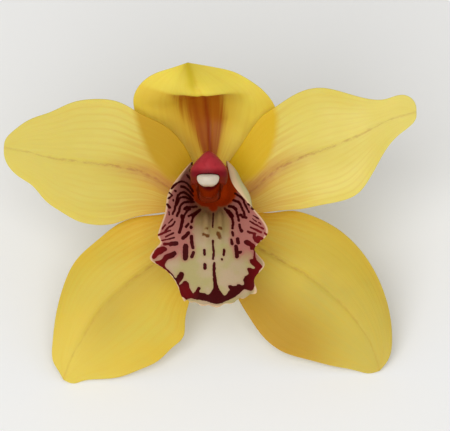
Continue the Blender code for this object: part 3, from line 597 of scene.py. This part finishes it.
# Lip: the lowest petal, a trough with two side lobes that stand up beside the column, two low
# keels on its floor and a front lobe that turns down. Cream, flushed pink towards the lobes,
# with maroon bars, spots and a maroon band round its front edge.
LIP_ROWS, LIP_COLUMNS = 236, 206
LIP_THICK, LIP_RIM = 0.75, 0.35
KEEL_HEIGHT, KEEL_SPAN, KEEL_PLACES = 1.2, 0.75, (-0.8, 2.9)
LIP_LINES = (
    ((-3.3, 0.8, 1.8), (-4.3, 4.8, 4.6), (-4.5, 7.9, 8.6), (-4.6, 8.9, 12.6), (-8.1, 4.9, 16.2),
     (-10.9, 0.2, 18.2), (-11.7, -4.8, 19.2), (-13.5, -10.4, 19.8), (-12.9, -12.5, 18.6),
     (-15.7, -16.4, 17.6), (-12, -19, 18.2), (-9, -22.4, 18), (-7.5, -26, 16.8), (-6.4, -27.4, 16)),
    ((-3.2, 0, 1.8), (-4.8, 2.4, 4.6), (-5.4, 4.7, 8.6), (-6.5, 5.6, 12.4), (-8.5, 2.2, 15.6),
     (-10, -1.8, 17.6), (-10.6, -6, 18.9), (-11.4, -10.4, 19.6), (-11.1, -13.3, 19.1), (-12.6, -16.8, 18.6),
     (-9.6, -20, 19), (-7.4, -23.2, 18.3), (-5.9, -26.3, 16.9), (-5.3, -27.8, 15.9)),
    ((-2.8, -0.9, 1.8), (-4.8, -0.6, 4.8), (-6, 0, 8.6), (-7, 0.2, 12.2), (-7.8, -2, 15),
     (-8.4, -4.4, 17.2), (-8.6, -7.8, 18.8), (-9, -11.2, 19.7), (-8.8, -14.2, 19.7), (-9.4, -17.4, 19.6),
     (-7.6, -20.8, 19.5), (-5.6, -23.9, 18.6), (-4.2, -26.7, 17), (-3.6, -28.4, 15.8)),
    ((-1.5, -1.7, 1.8), (-2.6, -2.7, 5), (-3.2, -3.6, 8.6), (-3.7, -4.5, 12), (-4.2, -5.6, 15),
     (-4.6, -7.4, 17.4), (-4.8, -9.8, 19.4), (-5, -12.7, 20.6), (-4.8, -15.6, 20.9), (-4.8, -18.7, 20.8),
     (-3.8, -21.8, 20.2), (-2.4, -24.7, 18.9), (-1.4, -27.2, 17.2), (-1, -29, 15.5)),
    ((0, -1.9, 1.8), (0, -3.2, 5), (0, -4.4, 8.6), (0, -5.4, 12), (0, -6.4, 15), (0.2, -7.8, 17.8),
     (0.3, -10.2, 20), (0.4, -13.2, 21.3), (0.6, -16, 21.7), (0.8, -19, 21.4), (1, -22, 20.5),
     (1.3, -24.8, 19), (1.6, -27.3, 17.2), (2, -29.3, 15.4)),
    ((1.5, -1.7, 1.8), (2.6, -2.7, 5), (3.2, -3.6, 8.6), (3.8, -4.5, 12), (4.4, -5.6, 15),
     (4.9, -7.4, 17.4), (5.2, -9.8, 19.4), (5.6, -12.7, 20.6), (5.6, -15.7, 20.9), (5.8, -18.8, 20.8),
     (5.6, -21.9, 20.2), (5.4, -24.7, 18.9), (5.2, -27.1, 17.2), (5, -28.6, 15.6)),
    ((2.8, -0.9, 1.8), (4.9, -0.6, 4.8), (6.1, 0, 8.6), (7.4, 0.6, 12.2), (8.4, -1.8, 15),
     (9.4, -4.2, 17.2), (9.8, -7.6, 18.8), (10.2, -11, 19.7), (9.4, -14.6, 19.7), (9.9, -18, 19.4),
     (9.3, -21.4, 19.3), (8.9, -24.2, 18.3), (8.7, -26.4, 17), (7.6, -27.4, 15.9)),
    ((3.2, 0, 1.8), (4.9, 2.6, 4.6), (5.6, 5.2, 8.6), (7.2, 6.2, 12.6), (8.6, 3.6, 15.6), (10.6, 0, 17.6),
     (11.8, -5.4, 18.9), (13.2, -10, 19.6), (11, -14.2, 19.1), (12.6, -17.8, 18.6), (11.2, -21.2, 18.7),
     (10.8, -23.9, 17.8), (10.8, -25.7, 16.8), (9.4, -26.4, 16)),
    ((3.3, 0.8, 1.8), (4.3, 4.8, 4.6), (4.6, 8.2, 8.6), (4.8, 9, 12.6), (5.6, 4.9, 15.8), (7.6, 1.3, 17.6),
     (12.1, -3.7, 19), (15.6, -9.8, 19.8), (12, -13.9, 18.6), (14.8, -17.8, 17.8), (12.4, -20.9, 18.2),
     (12.2, -23.4, 17.4), (12.6, -25, 16.6), (11.2, -25.4, 16)))

# Each maroon mark is its half width and its line over the lip, as seen from the front.
LEFT_LOBE_MARKS = (
    (0.35, (-4.5, 8.6), (-4.5, 8.5)), (0.3, (-5.1, 7), (-5, 6.1)),
    (0.26, (-6, 5.6), (-5.3, 4.8), (-4.5, 3.7)),
    (0.27, (-9.9, 2), (-9.3, 2.8), (-8.5, 3.5), (-7.7, 3.9), (-6.8, 3.8), (-6.1, 3.4), (-5.4, 2.7),
     (-4.4, 1.2)), (0.34, (-7.6, 2.5), (-6.8, 2.4)), (0.28, (-6.8, 2.4), (-6, 1.8), (-5.4, 1.2), (-4.5, 0)),
    (0.31, (-9.7, -4.8), (-9.2, -3.6), (-9, -2.4), (-8.8, -1), (-8.5, 0.1)),
    (0.31, (-8.5, 0.1), (-7.8, 0.7), (-7.1, 1), (-6.4, 0.7), (-5.7, 0.1), (-4.6, -1.1)),
    (0.3, (-8.8, -2.6), (-8.2, -1), (-7.7, -0.5), (-7, -0.4), (-6.3, -0.5), (-4.9, -1.3)),
    (0.32, (-8.6, -5.4), (-8.1, -4.2), (-7.9, -3.1), (-7.5, -2.4), (-6.8, -1.9), (-6, -1.7), (-4.2, -1.8)),
    (0.42, (-6.6, -3.6), (-5.9, -3.2), (-5.3, -3.3)), (0.28, (-5.3, -3.2), (-3.4, -3.1)),
    (0.3, (-6.8, -5.9), (-6.5, -5), (-6, -4.2), (-5.3, -3.8)),
    (0.3, (-5.5, -5.6), (-4.7, -5.2), (-3.6, -4.6), (-2.5, -3.9)),
    (0.32, (-4.6, -7.2), (-4.4, -6.1), (-3.8, -5.3), (-2.4, -4)),
    (0.42, (-7.3, -5.5), (-7.1, -6.8), (-7.4, -8.2), (-7.8, -9.7)), (0.35, (-5.5, -7.7), (-6.1, -8.4)),
    (0.42, (-4.8, -8.5), (-4.7, -8.6)), (0.48, (-5.4, -10), (-6.8, -11.3)), (0.27, (-9.2, 1.4), (-9, 1.3)),
    (0.24, (-10.6, 0.9), (-9.9, 0.1), (-10.9, -0.7)), (0.22, (-9.6, -1.1), (-9.6, -1.3)),
    (0.34, (-11.1, -2.3), (-10.5, -3.1)), (0.18, (-10.7, -4.3), (-10.6, -5)),
    (0.2, (-10.7, -7.2), (-9.7, -6.2)),
    (0.26, (-9.1, -7), (-9.7, -7.9), (-10.6, -8.3), (-11.3, -8.9), (-11.6, -9.5)),
    (0.26, (-11.6, -7.7), (-12.3, -8.7)), (0.22, (-10.2, -9.2), (-11.3, -9.6), (-12.3, -9.9)),
    (0.28, (-12.4, -10), (-13.3, -10.4)), (0.28, (-9.4, -9.9), (-10.7, -10.5), (-11.4, -10.8)),
    (0.2, (-9.1, -11.1), (-10.6, -11.4), (-12.4, -11.7)), (0.6, (-8.6, -12.6), (-10, -12.7)),
    (0.4, (-10.2, -12.6), (-11.7, -12.65)))
RIGHT_LOBE_MARKS = (
    (0.28, (5.4, 8.8), (5.6, 8.7)),
    (0.28, (7.2, 0.6), (8.1, 0), (8.9, -0.5), (9.4, -1.2), (9.7, -2.2), (10.2, -3.2), (10.8, -4.4)),
    (0.36, (6.8, -1.3), (8.1, -1.7), (8.6, -2.4)),
    (0.31, (8.6, -2.4), (8.9, -3.2), (9.4, -4.3), (9.6, -5.2)),
    (0.34, (8.6, -5.2), (9.1, -5.8), (10, -5.9)), (0.42, (5.6, -2.9), (6.8, -3.2), (7.4, -3.8)),
    (0.32, (7.4, -3.8), (7.6, -4.9), (7.9, -6), (8.1, -6.8)), (0.36, (4.4, -3.6), (5, -4.1)),
    (0.6, (5.3, -4.4), (5.8, -5.1), (6.2, -5.6)), (0.34, (6.2, -5.6), (6.5, -7.4), (6.3, -8.7)),
    (0.33, (8.2, -7.8), (8.3, -8.8)), (0.46, (8.5, -9.1), (8.7, -9.4)), (0.25, (10.6, -2.1), (10.8, -2.4)),
    (0.2, (11.5, -3), (11.8, -3.6)), (0.18, (11.8, -5.2), (13.2, -6.1)), (0.18, (11.7, -6.1), (12.6, -6.8)),
    (0.22, (13.3, -7.1), (13.8, -7.5)), (0.24, (11, -6.8), (12.5, -7.7), (13.6, -8.3), (14.4, -8.7)),
    (0.3, (11.1, -8.4), (12.7, -9.1), (13.8, -9.6)), (0.29, (10.4, -9.5), (10.9, -9.8), (12.3, -10)),
    (0.29, (14.8, -9.8), (15.2, -10.2)), (0.42, (12.1, -10.1), (12, -11), (12.3, -11.8)),
    (0.66, (13.1, -11.2), (13.3, -11.3)), (0.42, (12.6, -11.9), (13.3, -12.2)),
    (0.4, (13.5, -11), (14.1, -11.3)), (0.18, (13.9, -12.3), (14.6, -12.5)),
    (0.68, (9.9, -12.3), (10.6, -12.5)), (0.55, (11.2, -12.8), (11.3, -13.7)),
    (0.4, (11.7, -12.9), (11.9, -13.4)), (0.22, (11.9, -13.4), (11.95, -15.6)),
    (0.38, (6.2, -9.8), (6.4, -10.6)), (0.37, (5.9, -11.7), (6.1, -12.8)),
    (0.48, (7.6, -11.5), (7.7, -12.4)), (0.52, (7.1, -13.5), (7.3, -16)), (0.4, (7.5, -14.9), (8.3, -14.9)))
MIDDLE_MARKS = (
    (0.72, (-6.1, -13.4), (-6.1, -16.4)), (0.43, (-4.6, -10.9), (-4.5, -12.3), (-4.1, -13.8)),
    (0.46, (-4, -15), (-4.4, -16.1)), (0.33, (-1.1, -14.3), (-1.1, -15.6)),
    (0.42, (-1, -18.1), (-1, -19.1)), (0.22, (1.2, -4.9), (1, -8.5)),
    (0.28, (1.05, -12), (1.1, -13.5), (1.3, -14.9), (1.1, -16.7)), (0.36, (3.9, -14.3), (3.9, -15.6)),
    (0.28, (3.4, -16.7), (3.5, -16.9)))
KEEL_MARKS = (
    (0.33, (-1.3, -10.2), (-0.4, -10.7)), (0.22, (-0.7, -8.6), (-0.7, -8.8)),
    (0.27, (2.9, -8.6), (3, -8.9)), (0.27, (2.5, -9.7), (2.6, -10.4), (2.9, -11.3)))
THROAT = (
    (4.9, (-0.2, 4.5), (-0.2, 1.6)), (4.9, (2.2, 4), (2.9, 1.7)), (1.3, (1, -1.5), (1.2, -3.2)))

# The two larger maroon marks are closed outlines.
LEFT_TIP_MARK = (
    (-13.2, -13.6), (-12.4, -13.4), (-11.5, -13.4), (-10.9, -13.9), (-11.1, -14.5), (-12.4, -15.2),
    (-13.4, -15.8), (-14, -16.6), (-14.7, -16.6), (-15, -16.2), (-14.6, -15.2), (-14, -14.2))
FRONT_BAND = (
    (1.4, -17.3), (1.7, -17.7), (1.7, -19.6), (1.8, -20.8), (2, -22), (2.2, -23.2), (2.5, -24.2),
    (3, -25.1), (3.6, -25.9), (4, -26.2), (4.5, -26.1), (5, -25.4), (5.7, -24.7), (5.2, -24.2), (5, -23.6),
    (5.6, -23.4), (6.2, -23.7), (7.2, -23.7), (7.4, -23.2), (8, -23.3), (8.6, -23.6), (9.2, -23.6),
    (9.3, -23.1), (9, -22.2), (9.3, -21.4), (10, -21.1), (10.5, -20.6), (10.3, -20), (10, -19.4),
    (10.4, -19), (10.9, -19.1), (11.4, -19.4), (12, -19.4), (12.3, -19), (11.8, -18.5), (10.9, -17.9),
    (10.7, -17.1), (11, -16.7), (11.6, -16.9), (11.75, -15.8), (12.15, -15.8), (12.2, -16.6), (12.8, -17.4),
    (13.6, -18.2), (14.2, -18.7), (13.4, -19.6), (12.8, -20.8), (12.4, -22), (11.8, -22.8), (11.9, -23.8),
    (11.6, -24.7), (11, -25.1), (10.4, -24.8), (9.6, -24.4), (8.8, -24.8), (8, -25.6), (7.2, -26.3),
    (5.8, -27), (4, -27.9), (2.6, -28.4), (1.2, -28.3), (0, -27.8), (-1.8, -27.4), (-4.2, -27), (-5.6, -27),
    (-6.1, -27.6), (-6.4, -27.2), (-7, -26.7), (-7.4, -26), (-7.6, -24.8), (-8.2, -23.4), (-9, -22),
    (-9.7, -20.9), (-10.4, -20.3), (-11.3, -19.5), (-12, -18.9), (-13, -18.2), (-14.4, -17.4),
    (-13.2, -17.2), (-12.3, -16.9), (-12, -16.2), (-11.2, -15.4), (-10, -15.1), (-9, -14.6), (-8.6, -14.9),
    (-8.5, -15.6), (-9.4, -16.4), (-11, -16.9), (-11.4, -17.8), (-11.7, -18.6), (-11.2, -19.1),
    (-10.1, -20), (-9.4, -20.8), (-8.9, -21.8), (-8.4, -21.6), (-8, -20.6), (-7.2, -19.9), (-6.5, -20.4),
    (-6.6, -21.4), (-7.2, -22.2), (-7.9, -23.3), (-7.6, -23.6), (-7, -23), (-6.4, -22.4), (-5.8, -22.3),
    (-5.3, -23), (-5, -24.2), (-4.2, -25.7), (-3.7, -25.4), (-3.2, -24.8), (-2.7, -23.8), (-2.1, -24.1),
    (-2.5, -24.8), (-2.6, -25.5), (-1.2, -25.5), (-0.2, -26.2), (0.4, -25.7), (1, -24.8), (1.3, -24),
    (1.2, -22.8), (1.1, -21.2), (1.05, -19.6), (1.1, -17.7))
LIP_CREAM, LIP_GREEN, LIP_PINK = (0.47, 0.36, 0.23), (0.40, 0.36, 0.155), (0.36, 0.125, 0.10)
LIP_WHITE, LIP_TAN, BAR_BROWN = (0.70, 0.47, 0.28), (0.30, 0.16, 0.05), (0.12, 0.035, 0.004)
LIP_PALE, MAROON, CRIMSON = (0.50, 0.47, 0.22), (0.046, 0.001, 0.0012), (0.15, 0.003, 0.004)


def from_strokes(x, y, strokes):
    """Distance outside the nearest stroke at each point, negative inside it.

    A stroke is all that lies within its half width of its line, measured to each straight
    stretch of the line in turn.
    """
    least = np.full(x.shape, 9.0)
    for half_width, *line in strokes:
        for (ax, ay), (bx, by) in zip(line, line[1:]):
            dx, dy = bx - ax, by - ay
            share = np.clip(((x - ax) * dx + (y - ay) * dy) / (dx * dx + dy * dy), 0, 1)
            away = np.hypot(x - ax - share * dx, y - ay - share * dy) - half_width
            least = np.minimum(least, away)
    return least


def from_patch(x, y, outline):
    """Distance outside the patch that the outline closes round at each point, negative inside it.

    The outline's corners are cut twice, which rounds them. A point is inside where a level line
    to its left meets the outline an odd number of times.
    """
    corners = np.array(outline)
    for _ in range(2):
        after = np.roll(corners, -1, axis=0)
        cut = [0.75 * corners + 0.25 * after, 0.25 * corners + 0.75 * after]
        corners = np.stack(cut, 1).reshape(-1, 2)
    inside = np.zeros(x.shape, bool)
    for (ax, ay), (bx, by) in zip(corners, np.roll(corners, -1, axis=0)):
        if ay != by:
            inside ^= ((ay > y) != (by > y)) & (x > ax + (y - ay) * (bx - ax) / (by - ay))
    least = from_strokes(x, y, ((0.0, *corners, corners[0]),))
    return np.where(inside, -least, least) - 0.06


across, along = grid_lines(LIP_ROWS, LIP_COLUMNS, 0.5)
middle = through_net(LIP_LINES, across, along)
from_side = (1 - np.abs(across)) * np.linalg.norm(middle[:, -1] - middle[:, 0], axis=-1)[:, None] / 2
length = np.linalg.norm(np.diff(middle[:, LIP_COLUMNS // 2], axis=0), axis=1).sum()
from_edge = np.minimum(from_side, np.minimum(along, 1 - along) * length)
normal = face_normals(middle)
on_lobe = np.clip((along - 0.55) / 0.15, 0, 1)
frill = np.sin(34 * along + 7 * across) * np.exp(-from_side / 2.2) * 0.35
frill = frill + np.sin(19 * across + 1.3) * np.exp(-(1 - along) * length / 2.5) * 0.4
middle = middle + normal * (frill * on_lobe)[..., None]
reach = np.exp(-((along - 0.36) / 0.17) ** 4) * np.exp(-(across / 0.45) ** 4)
for place in KEEL_PLACES:
    ridge = np.exp(-((middle[..., 0] - place) / KEEL_SPAN) ** 2)
    middle = middle + (ridge * reach)[..., None] * np.array((0.0, 0.8, 0.5)) * KEEL_HEIGHT
normal = face_normals(middle)
rounding = np.sqrt(1 - (1 - np.clip(from_edge / 0.22, 0, 1)) ** 2)
half = (LIP_RIM + (LIP_THICK - LIP_RIM) * (1 - np.exp(-from_edge / 2.5))) * rounding / 2
points, triangles, listed = thin_shell(middle, normal, half, half)
x, y = middle[..., 0], middle[..., 1]
marks = from_strokes(x, y, LEFT_LOBE_MARKS + RIGHT_LOBE_MARKS + MIDDLE_MARKS)
for outline in (LEFT_TIP_MARK, FRONT_BAND):
    marks = np.minimum(marks, from_patch(x, y, outline))
marks = marks + np.where(along < 0.04, 0.6, 0.0)
throat = from_strokes(x, y, THROAT)
flush = np.clip((np.abs(x - 0.8) - 3.0) / 4.5, 0, 1) * np.clip((y + 19.0) / 5.5, 0.1, 1)
crimson = np.clip((np.abs(x) - 9) / 5, 0, 1) * np.clip((-5 - y) / 4, 0, 1)
crimson = np.maximum(crimson, np.clip(1 - np.hypot(x + 6.3, y + 25.3) / 4, 0, 0.7))
one = np.ones_like(x)
values = {"marks": listed(marks, marks + 0.35), "throat": listed(throat, one * 3),
          "keel_marks": listed(from_strokes(x, y, KEEL_MARKS), one * 2), "flush": listed(flush, flush * 0.5),
          "crimson": listed(crimson, one * 0), "from_edge": listed(from_edge, from_edge),
          "in_front": listed(one, one * 0)}
lip = Finish("lip_skin", LIP_CREAM)
waver = lip.noise(1100.0, 2.0)
cells = lip.noise(2600.0, 2.0)
lip.coat(lip.ramp(lip.noise(160.0, 3.0), 0.38, 0.62), LIP_GREEN)
lip.coat(lip.ramp("throat", 13.0, 1.0, 0.0, 0.8), LIP_TAN)
pink = lip.plus("flush", lip.ramp("marks", 0.8, 0.1, 0.0, 0.3))
lip.coat(lip.ramp(pink, 0.0, 1.1), LIP_PINK)
lip.coat(lip.ramp("in_front", 1.0, 0.0, 0.0, 0.8), LIP_PALE)
lip.coat(lip.ramp("from_edge", 1.2, 0.4, 0.0, 0.8), LIP_WHITE)
maroon = lip.blend("crimson", MAROON, CRIMSON)
for title, shake, outside, inside, share, colour in (
        ("keel_marks", 0.12, 0.25, -0.15, 0.95, BAR_BROWN), ("throat", 0.1, 0.45, -0.45, 1.0, THROAT_RUST),
        ("marks", 0.07, 0.08, -0.04, lip.ramp("in_front", 0.0, 1.0, 0.45, 1.0), maroon)):
    shaken = lip.plus(title, lip.ramp(waver, 0.3, 0.7, -shake, shake))
    lip.coat(lip.times(lip.ramp(shaken, outside, inside), share), colour)
lip_skin = lip.skin(cells, (0.38, 0.55), 0.00008, 0.05, (0.9, 0.5, 0.3), 0.05)
add_piece("marked_lip", "lip", points, triangles, values, listed(across, across) / 2 + 0.5,
          listed(along, along), lip_skin)

# Column: the solid arched body over the lip, pink-red with a darker rim at its front, where a
# shallow seat holds the cap. Its underside is flatter and rust-coloured.
COLUMN_AXIS = ((0.0, 1.0, 1.5), (0.0, 2.5, 5.0), (0.0, 4.9, 10.0), (0.0, 6.5, 15.0),
               (0.0, 6.8, 19.5), (0.0, 6.2, 24.6))
COLUMN_GIRTH = ((0.0, 1.6, 1.5), (0.04, 2.4, 2.1), (0.2, 2.8, 2.4), (0.4, 3.4, 2.8),
                (0.6, 4.2, 3.4), (1.0, 4.6, 4.0))
COLUMN_ARCH = ((0.0, 5.1), (1.0, 4.75), (2.0, 3.9), (3.0, 2.85), (3.95, 1.7), (4.75, 0.5), (5.0, -0.9),
               (4.85, -2.6), (4.35, -3.8), (3.75, -3.9), (3.4, -2.8), (3.2, -1.2), (2.6, -0.45),
               (1.4, -0.3), (0.0, -0.3))
COLUMN_SIDES = 160
ARCH_FROM, ARCH_TO, FRONT_FROM = 0.42, 0.8, 0.84
CAP_HALF = np.array((2.95, 1.75, 1.6))
CAP_LIFT, CAP_SQUARE = 0.42, 3.0
SEAT_GAP = 0.2
COLUMN_PINK, COLUMN_RED, COLUMN_PALE = (0.40, 0.028, 0.036), (0.16, 0.004, 0.008), (0.60, 0.42, 0.16)
WING_RUST = (0.15, 0.011, 0.002)


def column_ring(share, angle):
    """Ring that is round at the base and goes over into an arch with a drooping wing each side.

    The arch's outline starts at the top and runs down one side, round the wing and along the
    hollow underside. Towards the front end the rings shrink to close the body in a dome.
    """
    girth = np.array(COLUMN_GIRTH)
    from_top = np.abs(np.mod(angle - np.pi / 2 + np.pi, 2 * np.pi) - np.pi) / np.pi
    side = np.where(np.cos(angle) < 0, -1.0, 1.0)
    outline = smooth_line([(x, y, 0.0) for x, y in COLUMN_ARCH], from_top.ravel())
    arch_x, arch_y = (outline[:, axis].reshape(share.shape) for axis in (0, 1))
    wide, high = (np.interp(share, girth[:, 0], girth[:, column]) for column in (1, 2))
    round_x, round_y = wide * np.sin(np.pi * from_top), high * np.cos(np.pi * from_top)
    into = np.clip((share - ARCH_FROM) / (ARCH_TO - ARCH_FROM), 0, 1)
    into = into ** 2 * (3 - 2 * into)
    x = side * (round_x + (np.maximum(arch_x, 0) - round_x) * into)
    y = round_y + (arch_y - round_y) * into
    front = np.clip((share - FRONT_FROM) / (1 - FRONT_FROM), 0, 1)
    shrink = np.sqrt(np.clip(1 - front ** 2.2, 0, 1)) * np.sqrt(1 - np.clip(1 - share / 0.02, 0, 1) ** 2)
    return x * shrink, y * shrink


def cap_reach(x, y, half):
    """How far a place lies towards the cap's outline: 0 at its middle, 1 on the outline.

    Above its widest line the outline is squarish and low, and below it an ellipse.
    """
    up = y - CAP_LIFT * half[1]
    high = np.abs(up / ((1 - CAP_LIFT) * half[1]))
    above = (np.abs(x / half[0]) ** CAP_SQUARE + high ** CAP_SQUARE) ** (1 / CAP_SQUARE)
    below = np.hypot(x / half[0], up / ((1 + CAP_LIFT) * half[1]))
    return np.where(up > 0, above, below)


column_rows = np.unique(np.concatenate([0.02 * np.linspace(0.02, 1, 12) ** 2, np.linspace(0.02, 0.84, 100),
                                        1 - 0.16 * np.linspace(1, 0.01, 110) ** 2]))
points, triangles, share, angle = tube(COLUMN_AXIS, column_rows, COLUMN_SIDES, column_ring)
past_cap = cap_reach(points[:, 0] - CAP_CENTRE[0], points[:, 1] - CAP_CENTRE[1], CAP_HALF + SEAT_GAP)
seat_floor = CAP_CENTRE[2] - (CAP_HALF[2] + SEAT_GAP) * np.sqrt(np.clip(1 - past_cap ** 2, 0, 1))
at_front = (past_cap < 1) & (points[:, 2] > 19)
points[:, 2] = np.where(at_front, np.minimum(points[:, 2], seat_floor), points[:, 2])
column = Finish("column_skin", COLUMN_PALE)
soft = column.noise(700.0, 3.0)
column.coat(column.ramp("share", 0.05, 0.5), COLUMN_PINK)
column.coat(column.ramp(soft, 0.45, 0.75, 0.0, 0.3), COLUMN_RED)
column.coat(column.ramp("lift", 0.2, -0.2), THROAT_RUST)
column.coat(column.ramp("above_cap", 3.8, 1.9), COLUMN_RED)
column.coat(column.ramp("above_cap", 1.6, 0.6), WING_RUST)
column_skin = column.skin(soft, (0.36, 0.46), 0.00005, 0.08, (1.0, 0.3, 0.2), 0.08)
above_cap = points[:, 1] - CAP_CENTRE[1] + np.clip(14 - points[:, 2], 0, 9)
add_piece("arched_column", "column", points, triangles,
          {"share": share, "lift": np.sin(angle), "above_cap": above_cap}, angle / (2 * np.pi), share,
          column_skin)

# Anther cap: a small waxy cream cap over the pollen, seated in the column's front, with a flat
# upper edge and a faint groove between its two halves.
CAP_WHITE, CAP_SHADE = (0.56, 0.48, 0.37), (0.36, 0.20, 0.09)
CAP_SIDES = 96


def cap_ring(share, angle):
    """Ring of the cap's outline, with a shallow notch at the middle below."""
    size = np.sqrt(np.clip(1 - (2 * share - 1) ** 2, 0, 1))
    x, y = np.cos(angle), np.sin(angle)
    notch = 1 - 0.08 * np.exp(-((angle - 1.5 * np.pi) / 0.16) ** 2)
    out = size * notch / cap_reach(x, y + CAP_LIFT, np.ones(2))
    return CAP_HALF[0] * out * x, CAP_HALF[1] * (CAP_LIFT + out * y)


cap_axis = CAP_CENTRE * (0, 1, 1) + np.outer(np.linspace(-1, 1, 5), (0, 0, CAP_HALF[2]))
cap_rows = np.sin(np.linspace(-1, 1, 60) * np.pi / 2) / 2 + 0.5
points, triangles, share, angle = tube(cap_axis, cap_rows, CAP_SIDES, cap_ring)
points[:, 0] += CAP_CENTRE[0]
cap = Finish("cap_skin", CAP_WHITE)
grain = cap.noise(1500.0, 2.0)
# Painted shade: the cap darkens towards its lower edge.
cap.coat(cap.ramp("low", 0.3, 1.0, 0.0, 0.8), CAP_SHADE)
cap_skin = cap.skin(grain, (0.34, 0.45), 0.00004, 0.25, (1.0, 0.7, 0.4), 0.5)
low = np.clip((CAP_CENTRE[1] - points[:, 1]) / CAP_HALF[1], 0, 1)
add_piece("pollen_cap", "anther_cap", points, triangles, {"low": low},
          angle / (2 * np.pi), share, cap_skin)

# Table top: a plain pale surface under the bloom, much wider than what the camera sees, with
# an even matt paint.
bpy.ops.mesh.primitive_plane_add(size=6.0)
table = bpy.context.object
table.name = "table_top"
paint = Finish("pale_table", (0.96, 0.96, 0.955))
paint.plug(paint.shader.inputs["Base Color"], paint.tone)
paint.plug(paint.shader.inputs["Roughness"], 0.8)
table.data.materials.append(paint.material)

# Light: a white room all round and one broad round soft light in front of the flower, a little
# to the left and low.
LIGHT_PLACE = (-250.0, -100.0, 1590.0)
world = bpy.data.worlds.new("white_room")
world.use_nodes = True
white = world.node_tree.nodes["Background"].inputs
white["Color"].default_value, white["Strength"].default_value = (1.0, 0.995, 0.98, 1.0), 0.5
bpy.context.scene.world = world
bpy.context.scene.view_settings.view_transform = "Standard"
key = bpy.data.lights.new("soft_light", "AREA")
key.shape, key.size, key.energy = "DISK", 1.5, 17.0
key_light = bpy.data.objects.new("soft_light", key)
bpy.context.scene.collection.objects.link(key_light)

# Camera: it looks straight into the flower's face, from far off, so that the drawing keeps
# its proportions.
FRAME_WIDTH, VIEW_CENTRE, VIEW_AWAY, SENSOR = 120.0, (4.27, -5.2), 2500.0, 36.0
lens = bpy.data.cameras.new("camera")
lens.sensor_width = SENSOR
lens.lens = SENSOR * VIEW_AWAY / FRAME_WIDTH
camera = bpy.data.objects.new("camera", lens)
bpy.context.scene.collection.objects.link(camera)
bpy.context.scene.camera = camera


def stand(thing, place, towards):
    """Puts a light or the camera at a place of the face-on drawing, looking at another."""
    back = np.subtract(place, towards) / np.linalg.norm(np.subtract(place, towards))
    side = np.cross((0.0, 1.0, 0.0), back)
    side /= np.linalg.norm(side)
    axes = turn @ np.stack([side, np.cross(back, side), back], axis=1)
    place = lay_down(np.array(place, float))
    thing.matrix_world = Matrix([[*axes[row], place[row]] for row in range(3)] + [[0, 0, 0, 1]])


stand(camera, (*VIEW_CENTRE, VIEW_AWAY), (*VIEW_CENTRE, 0.0))
stand(key_light, LIGHT_PLACE, (0.0, 0.0, 0.0))
